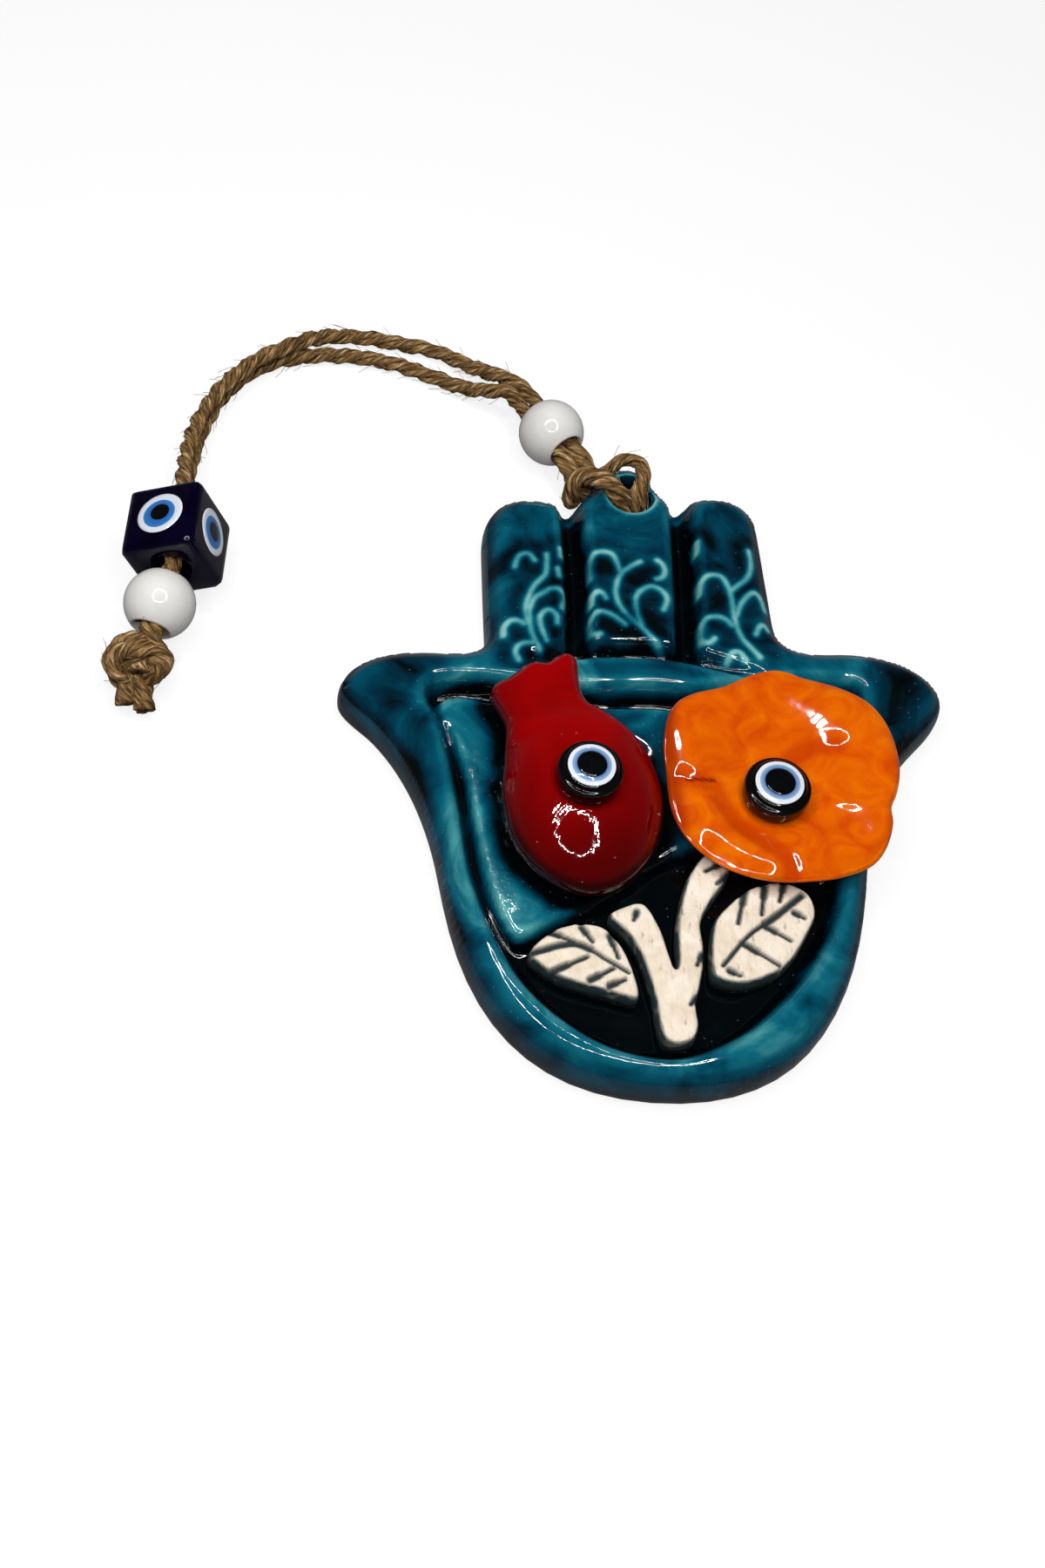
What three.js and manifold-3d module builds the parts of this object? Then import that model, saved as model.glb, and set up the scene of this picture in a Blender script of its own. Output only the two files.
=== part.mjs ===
// Ceramic hand plaque with two glued ornaments, glass eye beads and a beaded jute cord.
// Millimetres, +Z up. The plaque lies on its back at z = 0 with its fingers towards +Y,
// and x = y = 0 is the middle of the plaque.
import * as THREE from 'three';
import { mergeVertices } from 'three/addons/utils/BufferGeometryUtils.js';
import { RoundedBoxGeometry } from 'three/addons/geometries/RoundedBoxGeometry.js';
import loadManifold from 'manifold-3d';

const wasm = await loadManifold();
wasm.setup();

// Clearances
const SEAT_GAP = 0.2; // between a piece and the seat it is glued or luted to
const RING_GAP = 0.15; // between the glass rings of an eye
const CORD_GAP = 0.3; // between the ends of two stretches of cord
const FLOOR_GAP = 0.1; // under what lies beside the plaque

// Plaque
const PLAQUE_LENGTH = 122; // heel of the hand to the middle fingertip
const THUMB_SPAN = 104; // tip to tip
const THUMB_TIP_Y = 10.3;
const THUMB_TOP_Y = 19.6;
const WAIST_HALF_WIDTH = 35; // side of the palm below the thumbs
const WAIST_RISE = 39; // above the heel
const FINGERS_WIDTH = 50.6; // across all three fingers
const FINGER_GAP_X = 10.2; // centre of the gap between two fingers
const FINGER_NOTCH_DROP = 9.9; // below the middle fingertip
const OUTER_FINGERTIP_X = 17.3;
const OUTER_FINGERTIP_DROP = 7.8;
const RIM_HEIGHT = 8.4;
const RIM_WIDTH = 6.2;
const RIM_ROUND = 3.4; // how far the outer edge rounds in
const RIM_ROUND_HEIGHT = 5;
const RIM_INNER_ROUND = 2.2;
const BACK_ROUND = 0.8;
const PALM_FLOOR = 3.6;
const PALM_CORNER = [36.2, 10.6]; // upper corner of the sunken palm
const PALM_TOP_Y = 9.6;
const PANEL_HEIGHT = 7;
const PANEL_ROUND = 1.2;
const PANEL_GROOVE = 2.4; // between the rim and the raised panel
const PANEL_ARCH = [
  [-34, 23], [-24.5, 26.1], [-18, 29.5], [-12, 31.6], [-7, 34.8],
  [-2, 38.8], [4, 41.4], [12, 41.2], [22, 38.4], [36, 35],
]; // lower edge of the panel, over the leaves
const FINGER_GROOVE_WIDTH = 3.2;
const FINGER_GROOVE_FLARE = 0.9;
const FINGER_GROOVE_FLOOR = 2.8;
const BAND_TOP_Y = 16.9; // upper edge of the band under the fingers
const VALLEY_WIDTH = 2.2; // between that band and the fingers
const VALLEY_HALF_SPAN = 20;
const VALLEY_DROP = 3.6; // how far its ends bow down
const VALLEY_FLOOR = 5;
const HOLE_DIAMETER = 7.8;
const HOLE_X = 1;
const HOLE_DROP = 8.6; // below the middle fingertip
const HOLE_CHAMFER = 1.2;
const RELIEF_HEIGHT = 5; // undercut behind the fingertip, where the cord passes

// Stem and leaves, luted to the floor of the palm. Their outlines and the panel's arch are measured
// up from the heel of the hand, for a waist of PALM_DATUM_WAIST, and stretch across with the waist.
const PALM_DATUM_WAIST = 35;
const SPRIG_HEIGHT = 7.7;
const SPRIG_ROUND = 1;
const STEM_OUTLINE = [
  [-10.1, 29.6], [-7.4, 31.1], [-4.9, 30.2], [-2.9, 26], [-0.6, 19.9], [1, 27.6],
  [2.4, 33.6], [4.2, 37.8], [6.8, 39.7], [9.2, 38.4], [8.4, 34.6], [5.6, 29.6], [4, 25], [3.4, 18.7],
  [1.7, 11.8], [1.6, 9.2], [-0.9, 7.8], [-4, 9.4], [-4.5, 15.8], [-6, 23], [-8.6, 27],
];
const LEFT_LEAF_OUTLINE = [
  [-23.4, 22.8], [-20.2, 26.1], [-16.6, 27.6], [-13, 27.6], [-10.3, 26.1],
  [-7.9, 21.7], [-6.9, 15], [-11.4, 15.9], [-17.8, 18], [-21.4, 20.2],
];
const RIGHT_LEAF_OUTLINE = [
  [4.9, 20.1], [6.1, 27.4], [8.8, 30.8], [12.8, 33.8], [17.8, 34.9],
  [21.8, 33.2], [23, 29.8], [21.4, 26], [16.8, 20], [10.5, 17.2], [6, 17.8],
];

// Pomegranate, glued to the panel
const POM_CENTRE = [-13.3, -12.4];
const POM_WIDTH = 26;
const POM_LENGTH = 34.6;
const POM_HEIGHT = 8.3;
const POM_BASE_GAP = 0.3; // over the rim, which its crown crosses
const CROWN_HEIGHT = 5;
const CROWN_ROUND = 2;
const CROWN_MIDDLE = [-17, 3];
const CROWN_OUTLINE = [
  [-24.6, -5], [-25.2, 0.6], [-25.5, 4], [-26.6, 7.2], [-24.4, 9.6], [-21.4, 12], [-19.4, 13.3],
  [-16.4, 12.8], [-14, 14.6], [-12.4, 14.6], [-11.5, 11.4], [-10.7, 7], [-8.4, 3.6], [-5.4, -1],
  [-9, -9], [-19, -10],
];
const POM_GLUE_RADIUS = 8;

// Flower, a lobed dish glued to the panel; its lobes are [angle in degrees, share of the mean radius]
const FLOWER_CENTRE = [17.6, -12.9];
const FLOWER_RADIUS = 20; // mean
const FLOWER_LOBES = [
  [0, 1.010], [18, 1.140], [42, 1.270], [68, 1.190], [84, 1.205], [106, 1.075],
  [130, 1.120], [150, 0.990], [170, 0.870], [205, 0.840], [245, 0.775], [280, 0.780],
  [303, 0.860], [323, 0.970], [343, 0.980], [352, 0.955],
];
const FLOWER_BASE_GAP = 0.5; // over the rim, which its edge overhangs
const FLOWER_SEAT_HEIGHT = 2.4; // above the flower's base
const FLOWER_RIDGE_HEIGHT = 3.6;
const FLOWER_VALLEY_HEIGHT = 3.1;
const FLOWER_LIP_HEIGHT = 4.2;
const FLOWER_LIP_UNDERSIDE = 1.7;
const FLOWER_LIP_ROUND = 0.3;
const FLOWER_FOOT_ROUND = 0.3;
const FLOWER_GLUE_RADIUS = 7;
const FLOWER_STEPS = 48;

// Glass eyes glued on the ornaments
const POM_EYE_DIAMETER = 10.4;
const FLOWER_EYE_DIAMETER = 10.9;
const EYE_HEIGHT = 4.2;
const EYE_SHOULDER = 0.7;
const EYE_WHITE_DIAMETER = 7.9;
const EYE_BLUE_DIAMETER = 6.5;
const EYE_PUPIL_DIAMETER = 4.95;
const EYE_WELL_DEPTH = 0.8;
const EYE_GLUE_THICKNESS = 0.4;
const EYE_GLUE_RADIUS = 3.2;
const POM_EYE_SINK = 1.5; // the flat ground on the pomegranate for its eye
const EYE_STEPS = 24;

// Cord and what is strung on it. Its points hold for a hole at CORD_DATUM, and go where the hole goes.
const CORD_DATUM = [1, 52.4];
const STRAND_DIAMETER = 2.8;
const STRAND_SPACING = 2.96; // centres of the two strands inside a bead
const STRAND_SIDES = 8;
const BEAD_DIAMETER = 12;
const BEAD_BORE = 6.2;
const BEAD_BORE_ROUND = 0.4;
const BEAD_STEPS = 24;
const TOP_BEAD = [-12.1, 68.3];
const TOP_BEAD_HEADING = 120; // degrees from +X, the way the cord runs on from the hitch
const TOP_RUN_START = -6.4; // straight stretch through the top bead, measured from its centre
const TOP_RUN_END = 12;
const NECK_START = -9.2; // bending stretch between the hitch and the top bead
const NECK_DROP = 0.95;
const NECK_SPREAD = 0.2; // each strand further out at the hitch than in the bead
const OUTER_STRAND_ROUTE = [
  [-20.6, 83.4, 4.6], [-24.6, 86.6, 2.9], [-29, 90.2, 1.8], [-33.4, 92.7, 1.5], [-39.5, 94, 1.5],
  [-46, 95, 1.7], [-51.4, 94, 2.8], [-55.9, 91.9, 4.1], [-59.8, 89.6, 4.5], [-63.8, 87.3, 4.5],
  [-67.7, 84, 4.5], [-71.1, 80.1, 4.5], [-73.7, 76.1, 4.5], [-75.8, 71.3, 4.8], [-77.2, 66.1, 5.6],
  [-77.9, 61.1, 6.9], [-78.2, 56.2, 8.3], [-78.3, 51.8, 9.5],
];
const INNER_STRAND_ROUTE = [
  [-22.4, 79.6, 4.6], [-25.6, 81.4, 2.9], [-29.6, 83.7, 1.8], [-33.6, 85.9, 1.5], [-38.6, 88, 1.5],
  [-44, 89.6, 1.5], [-50, 90.3, 1.5], [-54.9, 90.2, 1.5], [-59, 89.4, 1.5], [-63.2, 88, 1.5],
  [-67.3, 85.3, 1.5], [-70.7, 81.6, 1.5], [-73.3, 77.6, 1.5], [-75.2, 72.6, 1.6], [-76.6, 67.6, 2.2],
  [-77.3, 62.7, 3.3], [-77.8, 57.6, 4.8], [-78, 51.7, 6.5],
];
const CUBE_EDGE = 13.4;
const CUBE_ROUND = 0.9;
const CUBE_BORE = 6.2;
const CUBE_CENTRE = [-79.05, 39.3];
const CUBE_YAW = -5.3; // degrees
const CUBE_ROLL = -22.8; // degrees about the cord, resting on one edge
const CUBE_EYE_WHITE = 8.4;
const CUBE_EYE_BLUE = 6.4;
const CUBE_EYE_PUPIL = 3.9;
const CUBE_EYE_DEPTH = 0.7;
const CUBE_EYE_PROUD = 0.2;
const CUBE_LEAD = 1.2; // straight cord before the cube
const CORD_KINK = 0.45; // past the cube's far face, where the cord bends down
const BOTTOM_BEAD = [-81.4, 26.6, 7.6];
const KNOT_DISTANCE = 10.9; // from the bottom bead's centre
const KNOT_RADII = [4.4, 3.6, 3.9];
const KNOT_WRAP_RADIUS = 3.1;
const KNOT_WRAP_THICKNESS = 1.6;
const KNOT_FLATNESS = 1.16; // how much wider than high the wraps lie
const CUT_ENDS = [
  [[-86.9, 13.1, 3.4], [-87.5, 11.1, 2.2], [-87.9, 9.4, 1.6]],
  [[-83.6, 12.2, 3.4], [-83.2, 10.3, 2.2], [-82.9, 8.7, 1.6]],
];
const HITCH_ROUTE = [
  [-7.2, 57.5, 3.9], [-5.3, 55.1, 2.7], [-3.2, 53.2, 2], [-1.4, 52.1, 2.6], [-0.6, 51.8, 4.7],
  [-0.7, 52, 7.2], [-1.6, 53.3, 9.5], [-3.4, 55.4, 10], [-5.9, 56.8, 9.4], [-8.7, 57, 8.1],
  [-11, 56.3, 6.1], [-11.6, 56.8, 3.6],
  [-10.4, 58.5, 1.7], [-7.7, 60.4, 1.5], [-4.9, 61.8, 1.5], [-2.2, 63, 2], [0.2, 63.8, 3.6], [1.9, 64, 5.8],
  [3, 63.2, 8.6], [3.5, 61, 10.2], [3.4, 58.2, 10.3], [3.2, 55.6, 9.9], [2.9, 53.9, 7.8], [2.8, 53, 5],
  [2.2, 53.4, 2.7], [0.4, 54.9, 1.9], [-2, 57, 2.3], [-4.3, 59.2, 3.7],
];
const HITCH_STEPS = 72;
const HITCH_LEAST_GAP = 0.4;

const GLAZE = { color: 0x0b5a6b, roughness: 0.12, metalness: 0 };
const BISQUE = { color: 0xe1cdb4, roughness: 0.85, metalness: 0 };
const RED_GLAZE = { color: 0x8c0408, roughness: 0.1, metalness: 0 };
const ORANGE_GLAZE = { color: 0xe96e05, roughness: 0.15, metalness: 0 };
const BLACK_GLASS = { color: 0x050508, roughness: 0.05, metalness: 0 };
const COBALT_GLASS = { color: 0x060320, roughness: 0.05, metalness: 0 };
const WHITE_GLASS = { color: 0xf0f2f6, roughness: 0.1, metalness: 0 };
const BLUE_GLASS = { color: 0x3f7fbf, roughness: 0.1, metalness: 0 };
const PORCELAIN = { color: 0xf2f1ee, roughness: 0.12, metalness: 0 };
const JUTE = { color: 0x96703f, roughness: 0.95, metalness: 0 };
const GLUE = { color: 0xd8d2c4, roughness: 0.4, metalness: 0 };

const part = new THREE.Group();

function addPiece(name, geometry, finish, parent = part) {
  const mesh = new THREE.Mesh(geometry, new THREE.MeshStandardMaterial(finish));
  mesh.name = name;
  parent.add(mesh);
  return mesh;
}

// Shared geometry helpers

function welded(geometry) {
  const bare = geometry.clone();
  bare.deleteAttribute('normal');
  bare.deleteAttribute('uv');
  return mergeVertices(bare, 1e-4);
}

function solid(geometry) {
  const bare = welded(geometry);
  const vertProperties = new Float32Array(bare.attributes.position.array);
  const triVerts = new Uint32Array(bare.index.array);
  return new wasm.Manifold(new wasm.Mesh({ numProp: 3, vertProperties, triVerts }));
}

function geometryOf(body) {
  const { vertProperties, triVerts } = body.getMesh();
  const geometry = new THREE.BufferGeometry();
  geometry.setAttribute('position', new THREE.Float32BufferAttribute(vertProperties, 3));
  geometry.setIndex(new THREE.Uint32BufferAttribute(triVerts, 1));
  geometry.computeVertexNormals();
  return geometry;
}

function meshFrom(vertices, triangles) {
  const geometry = new THREE.BufferGeometry();
  geometry.setAttribute('position', new THREE.Float32BufferAttribute(vertices.flat(), 3));
  geometry.setIndex(triangles.flat());
  geometry.computeVertexNormals();
  return geometry;
}

// A closed smooth outline through a few points, counter-clockwise.
function smoothOutline(corners, steps = corners.length * 3) {
  const knots = corners.map(([x, y]) => new THREE.Vector3(x, y, 0));
  const curve = new THREE.CatmullRomCurve3(knots, true, 'centripetal');
  const points = curve.getPoints(steps).slice(0, -1).map(({ x, y }) => new THREE.Vector2(x, y));
  return THREE.ShapeUtils.isClockWise(points) ? points.reverse() : points;
}

function mirrored(half) {
  const other = half.slice(1, -1).reverse().map(({ x, y }) => new THREE.Vector2(-x, y));
  return [...half, ...other];
}

// Moves each point of a counter-clockwise line inwards along its own normal.
function inset(points, distance, closed = true) {
  const last = points.length - 1;
  return points.map((point, i) => {
    const before = points[closed ? (i + last) % points.length : Math.max(i - 1, 0)];
    const after = points[closed ? (i + 1) % points.length : Math.min(i + 1, last)];
    const along = after.clone().sub(before).normalize();
    return new THREE.Vector2(point.x - along.y * distance, point.y + along.x * distance);
  });
}

// Layers [inset, z] that round an edge in by `reach` and up to `top`, along a quarter ellipse.
function roundedEdge(reach, rise, top, steps = 3) {
  return Array.from({ length: steps + 1 }, (_, i) => {
    const angle = (i / steps) * Math.PI / 2;
    return [reach * (1 - Math.cos(angle)), top - rise * (1 - Math.sin(angle))];
  });
}

// Moves each point of a line straight towards a centre; for outlines with narrow lobes.
const drawnTo = ([centreX, centreY]) => (points, distance) => points.map((p) => {
  const reach = Math.hypot(centreX - p.x, centreY - p.y);
  return p.clone().lerp(new THREE.Vector2(centreX, centreY), distance / reach);
});

// One outline stacked at several layers [inset, z] from the lowest up, closed at both ends.
function layered(outline, layers, shrink = inset) {
  const rings = layers.map(([distance, z]) => shrink(outline, distance).map(({ x, y }) => [x, y, z]));
  const count = outline.length;
  const triangles = [];
  for (let layer = 0; layer < rings.length - 1; layer += 1) {
    for (let i = 0; i < count; i += 1) {
      const a = layer * count + i;
      const b = layer * count + (i + 1) % count;
      triangles.push([a, b, b + count], [a, b + count, a + count]);
    }
  }
  const cap = (ring) => THREE.ShapeUtils.triangulateShape(ring.map(([x, y]) => new THREE.Vector2(x, y)), []);
  const topStart = (rings.length - 1) * count;
  cap(rings[0]).forEach(([a, b, c]) => triangles.push([c, b, a]));
  cap(rings[rings.length - 1]).forEach((corner) => triangles.push(corner.map((i) => i + topStart)));
  return meshFrom(rings.flat(), triangles);
}

// A lathe about +Z from a profile of [radius, z].
function turned(profile, steps) {
  const geometry = new THREE.LatheGeometry(profile.map(([r, z]) => new THREE.Vector2(r, z)), steps);
  return welded(geometry.rotateX(Math.PI / 2));
}

function disc(radius, low, high, steps) {
  return turned([[0, low], [radius, low], [radius, high], [0, high]], steps);
}

function ring(outer, inner, low, high, steps) {
  return turned([[inner, low], [outer, low], [outer, high], [inner, high], [inner, low]], steps);
}

// A path whose steps fall exactly on its points.
class Route extends THREE.Curve {
  constructor(points) {
    super();
    this.points = points;
  }

  getPoint(t, target = new THREE.Vector3()) {
    const at = t * (this.points.length - 1);
    const i = Math.min(Math.floor(at), this.points.length - 2);
    return target.lerpVectors(this.points[i], this.points[i + 1], at - i);
  }

  getPointAt(u, target) {
    return this.getPoint(u, target);
  }

  getTangentAt(u, target = new THREE.Vector3()) {
    const last = this.points.length - 1;
    const i = Math.round(u * last);
    return target.subVectors(this.points[Math.min(i + 1, last)], this.points[Math.max(i - 1, 0)]).normalize();
  }
}

function tube(points, diameter = STRAND_DIAMETER) {
  const section = Array.from({ length: STRAND_SIDES }, (_, i) => {
    const angle = (i / STRAND_SIDES) * 2 * Math.PI;
    return new THREE.Vector2(Math.cos(angle), Math.sin(angle)).multiplyScalar(diameter / 2);
  });
  const options = { steps: points.length - 1, extrudePath: new Route(points), bevelEnabled: false };
  return welded(new THREE.ExtrudeGeometry(new THREE.Shape(section), options));
}

const point = ([x, y, z]) => new THREE.Vector3(x, y, z);

function smoothRoute(points, steps) {
  return new THREE.CatmullRomCurve3(points, false, 'centripetal').getPoints(steps);
}

// Plaque

const heelY = -PLAQUE_LENGTH / 2;
const fingertipY = PLAQUE_LENGTH / 2;
const waistY = heelY + WAIST_RISE;
const outerFingertipY = fingertipY - OUTER_FINGERTIP_DROP;
const notchY = fingertipY - FINGER_NOTCH_DROP;
const hole = [HOLE_X, fingertipY - HOLE_DROP];
const palmStretch = WAIST_HALF_WIDTH / PALM_DATUM_WAIST;
const onPalm = ([x, y]) => [x * palmStretch, heelY + y];

const heel = new THREE.CubicBezierCurve(
  new THREE.Vector2(0, heelY),
  new THREE.Vector2(WAIST_HALF_WIDTH - 14, heelY),
  new THREE.Vector2(WAIST_HALF_WIDTH - 4, waistY - 24),
  new THREE.Vector2(WAIST_HALF_WIDTH, waistY),
);

function plaqueOutline() {
  const tip = THUMB_SPAN / 2;
  const finger = FINGERS_WIDTH / 2;
  const half = new THREE.Path();
  half.setFromPoints(heel.getPoints(12));
  half.bezierCurveTo(
    WAIST_HALF_WIDTH + 1.6, waistY + 10,
    tip - 11, THUMB_TIP_Y - 12.8,
    tip - 5.4, THUMB_TIP_Y - 7.5,
  );
  half.bezierCurveTo(tip - 2.5, THUMB_TIP_Y - 4.8, tip, THUMB_TIP_Y - 2.3, tip, THUMB_TIP_Y);
  half.bezierCurveTo(tip, THUMB_TIP_Y + 3.7, tip - 4.5, THUMB_TOP_Y + 0.8, tip - 18, THUMB_TOP_Y);
  half.bezierCurveTo(finger + 4.2, THUMB_TOP_Y - 0.3, finger + 0.2, THUMB_TOP_Y, finger, THUMB_TOP_Y + 4.4);
  half.lineTo(finger, outerFingertipY - 7.2);
  half.bezierCurveTo(
    finger, outerFingertipY - 2.2,
    OUTER_FINGERTIP_X + 4.2, outerFingertipY,
    OUTER_FINGERTIP_X, outerFingertipY,
  );
  half.bezierCurveTo(
    OUTER_FINGERTIP_X - 3.3, outerFingertipY,
    FINGER_GAP_X + 1.6, notchY + 1.3,
    FINGER_GAP_X, notchY,
  );
  half.bezierCurveTo(
    FINGER_GAP_X - 1.8, notchY + 0.5,
    FINGER_GAP_X - 3.6, notchY + 2.9,
    FINGER_GAP_X - 5, notchY + 5.3,
  );
  half.bezierCurveTo(FINGER_GAP_X - 6.2, fingertipY - 2.4, FINGER_GAP_X - 7.4, fingertipY, 0, fingertipY);
  const points = half.getPoints(7).filter((p, i, all) => i === 0 || p.distanceTo(all[i - 1]) > 0.05);
  return mirrored(points);
}

// The sunken palm, or with a margin the same shape that much smaller all round.
function palmOutline(margin) {
  const side = inset(heel.getPoints(12), RIM_WIDTH + margin, false);
  const start = side[side.length - 1];
  const cornerX = PALM_CORNER[0] - margin;
  const cornerY = PALM_CORNER[1] - margin;
  const topY = PALM_TOP_Y - margin;
  const half = new THREE.Path();
  half.setFromPoints(side);
  half.bezierCurveTo(start.x + 1.8, start.y + 9, cornerX - 3.4, cornerY - 12, cornerX, cornerY);
  half.bezierCurveTo(cornerX - 9, cornerY + 0.6, cornerX - 22, topY, 0, topY);
  const points = half.getPoints(8).filter((p, i, all) => i === 0 || p.distanceTo(all[i - 1]) > 0.05);
  return mirrored(points);
}

function palmCut() {
  const wall = RIM_HEIGHT - RIM_INNER_ROUND;
  return solid(layered(palmOutline(0), [
    [1.2, PALM_FLOOR], [0.3, PALM_FLOOR + 0.6], [0, PALM_FLOOR + 1.4], [0, wall],
    [-RIM_INNER_ROUND * 0.3, RIM_HEIGHT - RIM_INNER_ROUND * 0.3], [-RIM_INNER_ROUND, RIM_HEIGHT],
    [-RIM_INNER_ROUND, RIM_HEIGHT + 1],
  ]));
}

function palmPanel() {
  const layers = [[0, PALM_FLOOR - 0.4], ...roundedEdge(PANEL_ROUND, PANEL_ROUND, PANEL_HEIGHT)];
  const arch = new THREE.SplineCurve(PANEL_ARCH.map((p) => new THREE.Vector2(...onPalm(p)))).getPoints(40);
  const right = arch[arch.length - 1];
  const left = arch[0];
  const past = THUMB_SPAN / 2;
  const corners = [
    [right.x + past, right.y + past / 4], [right.x + past, PLAQUE_LENGTH],
    [left.x - past, PLAQUE_LENGTH], [left.x - past, left.y + past / 4],
  ];
  const above = [...arch, ...corners.map(([x, y]) => new THREE.Vector2(x, y))];
  return solid(layered(palmOutline(PANEL_GROOVE), layers)).intersect(solid(layered(above, layers)));
}

function fingerGroove(x) {
  const radius = FINGER_GROOVE_WIDTH / 2;
  const outline = new THREE.Path();
  outline.absarc(x, BAND_TOP_Y + radius, radius, Math.PI, 2 * Math.PI, false);
  outline.lineTo(x + radius, fingertipY);
  outline.lineTo(x - radius, fingertipY);
  const points = outline.getPoints(6);
  return solid(layered(points, [
    [FINGER_GROOVE_FLARE, FINGER_GROOVE_FLOOR], [0, FINGER_GROOVE_FLOOR + 1.2], [0, RIM_HEIGHT - 1.6],
    [-FINGER_GROOVE_FLARE, RIM_HEIGHT + SEAT_GAP],
  ]));
}

function bandValley() {
  const steps = 16;
  const edge = (lift) => Array.from({ length: steps + 1 }, (_, i) => {
    const share = (i / steps) * 2 - 1;
    const width = lift * (1 - share * share);
    return new THREE.Vector2(share * VALLEY_HALF_SPAN, BAND_TOP_Y - VALLEY_DROP * share * share + width);
  });
  const upper = edge(VALLEY_WIDTH).reverse().slice(1, -1);
  return solid(layered([...edge(0), ...upper], [[0, VALLEY_FLOOR], [-0.6, RIM_HEIGHT + SEAT_GAP]]));
}

function hangingHole() {
  const radius = HOLE_DIAMETER / 2;
  const over = RIM_HEIGHT + SEAT_GAP;
  const profile = [
    [0, -1], [radius, -1], [radius, RIM_HEIGHT - HOLE_CHAMFER], [radius + HOLE_CHAMFER, over], [0, over],
  ];
  return solid(turned(profile, 28)).translate([...hole, 0]);
}

function cordRelief() {
  const [holeX, holeY] = hole;
  const past = fingertipY + 3;
  const outline = [
    [holeX - 6.6, holeY - 2], [holeX + 4.4, holeY - 2], [holeX + 4.8, past], [-FINGER_GAP_X, past],
    [-FINGER_GAP_X, notchY + 5], [holeX - 6.6, notchY + 1.6],
  ].map(([x, y]) => new THREE.Vector2(x, y));
  return solid(layered(outline, [[0, -1], [0, RELIEF_HEIGHT]]));
}

const plaque = solid(layered(plaqueOutline(), [
  [BACK_ROUND, 0], [0, BACK_ROUND], ...roundedEdge(RIM_ROUND, RIM_ROUND_HEIGHT, RIM_HEIGHT),
]))
  .subtract(palmCut())
  .add(palmPanel())
  .subtract(fingerGroove(-FINGER_GAP_X))
  .subtract(fingerGroove(FINGER_GAP_X))
  .subtract(bandValley())
  .subtract(cordRelief())
  .subtract(hangingHole());
addPiece('hamsa_plaque', geometryOf(plaque), GLAZE);

// Stem and leaves

const sprigBase = PALM_FLOOR + SEAT_GAP;
function sprig(corners) {
  const edge = roundedEdge(SPRIG_ROUND, SPRIG_ROUND, SPRIG_HEIGHT);
  return layered(smoothOutline(corners.map(onPalm)), [[0.4, sprigBase], [0, sprigBase + 0.5], ...edge]);
}
addPiece('stem', sprig(STEM_OUTLINE), BISQUE);
addPiece('left_leaf', sprig(LEFT_LEAF_OUTLINE), BISQUE);
addPiece('right_leaf', sprig(RIGHT_LEAF_OUTLINE), BISQUE);

// Pomegranate

const pomBase = RIM_HEIGHT + POM_BASE_GAP;
const pomTop = pomBase + POM_HEIGHT;
const pomSeat = pomTop - POM_EYE_SINK;

function pomegranate() {
  const body = new THREE.SphereGeometry(1, 36, 16).rotateX(Math.PI / 2);
  body.scale(POM_WIDTH / 2, POM_LENGTH / 2, POM_HEIGHT).translate(...POM_CENTRE, pomBase);
  const crownTop = pomBase + CROWN_HEIGHT;
  const crown = layered(smoothOutline(CROWN_OUTLINE), [
    [0.4, pomBase], [0, pomBase + 0.5], ...roundedEdge(CROWN_ROUND, CROWN_ROUND, crownTop),
  ], drawnTo(CROWN_MIDDLE));
  const above = new THREE.BoxGeometry(POM_LENGTH * 2, POM_LENGTH * 2, POM_HEIGHT * 2);
  above.translate(...POM_CENTRE, pomBase + POM_HEIGHT);
  const seat = disc(POM_EYE_DIAMETER / 2 + SEAT_GAP, pomSeat, pomTop + 1, EYE_STEPS);
  seat.translate(...POM_CENTRE, 0);
  return solid(body).intersect(solid(above)).add(solid(crown)).subtract(solid(seat));
}
addPiece('pomegranate', geometryOf(pomegranate()), RED_GLAZE);

const pomGlue = disc(POM_GLUE_RADIUS, PANEL_HEIGHT + SEAT_GAP, pomBase - SEAT_GAP, EYE_STEPS);
addPiece('pomegranate_glue', pomGlue, GLUE).position.set(...POM_CENTRE, 0);

// Flower

const flowerBase = RIM_HEIGHT + FLOWER_BASE_GAP;
const flowerSeat = flowerBase + FLOWER_SEAT_HEIGHT;

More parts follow.
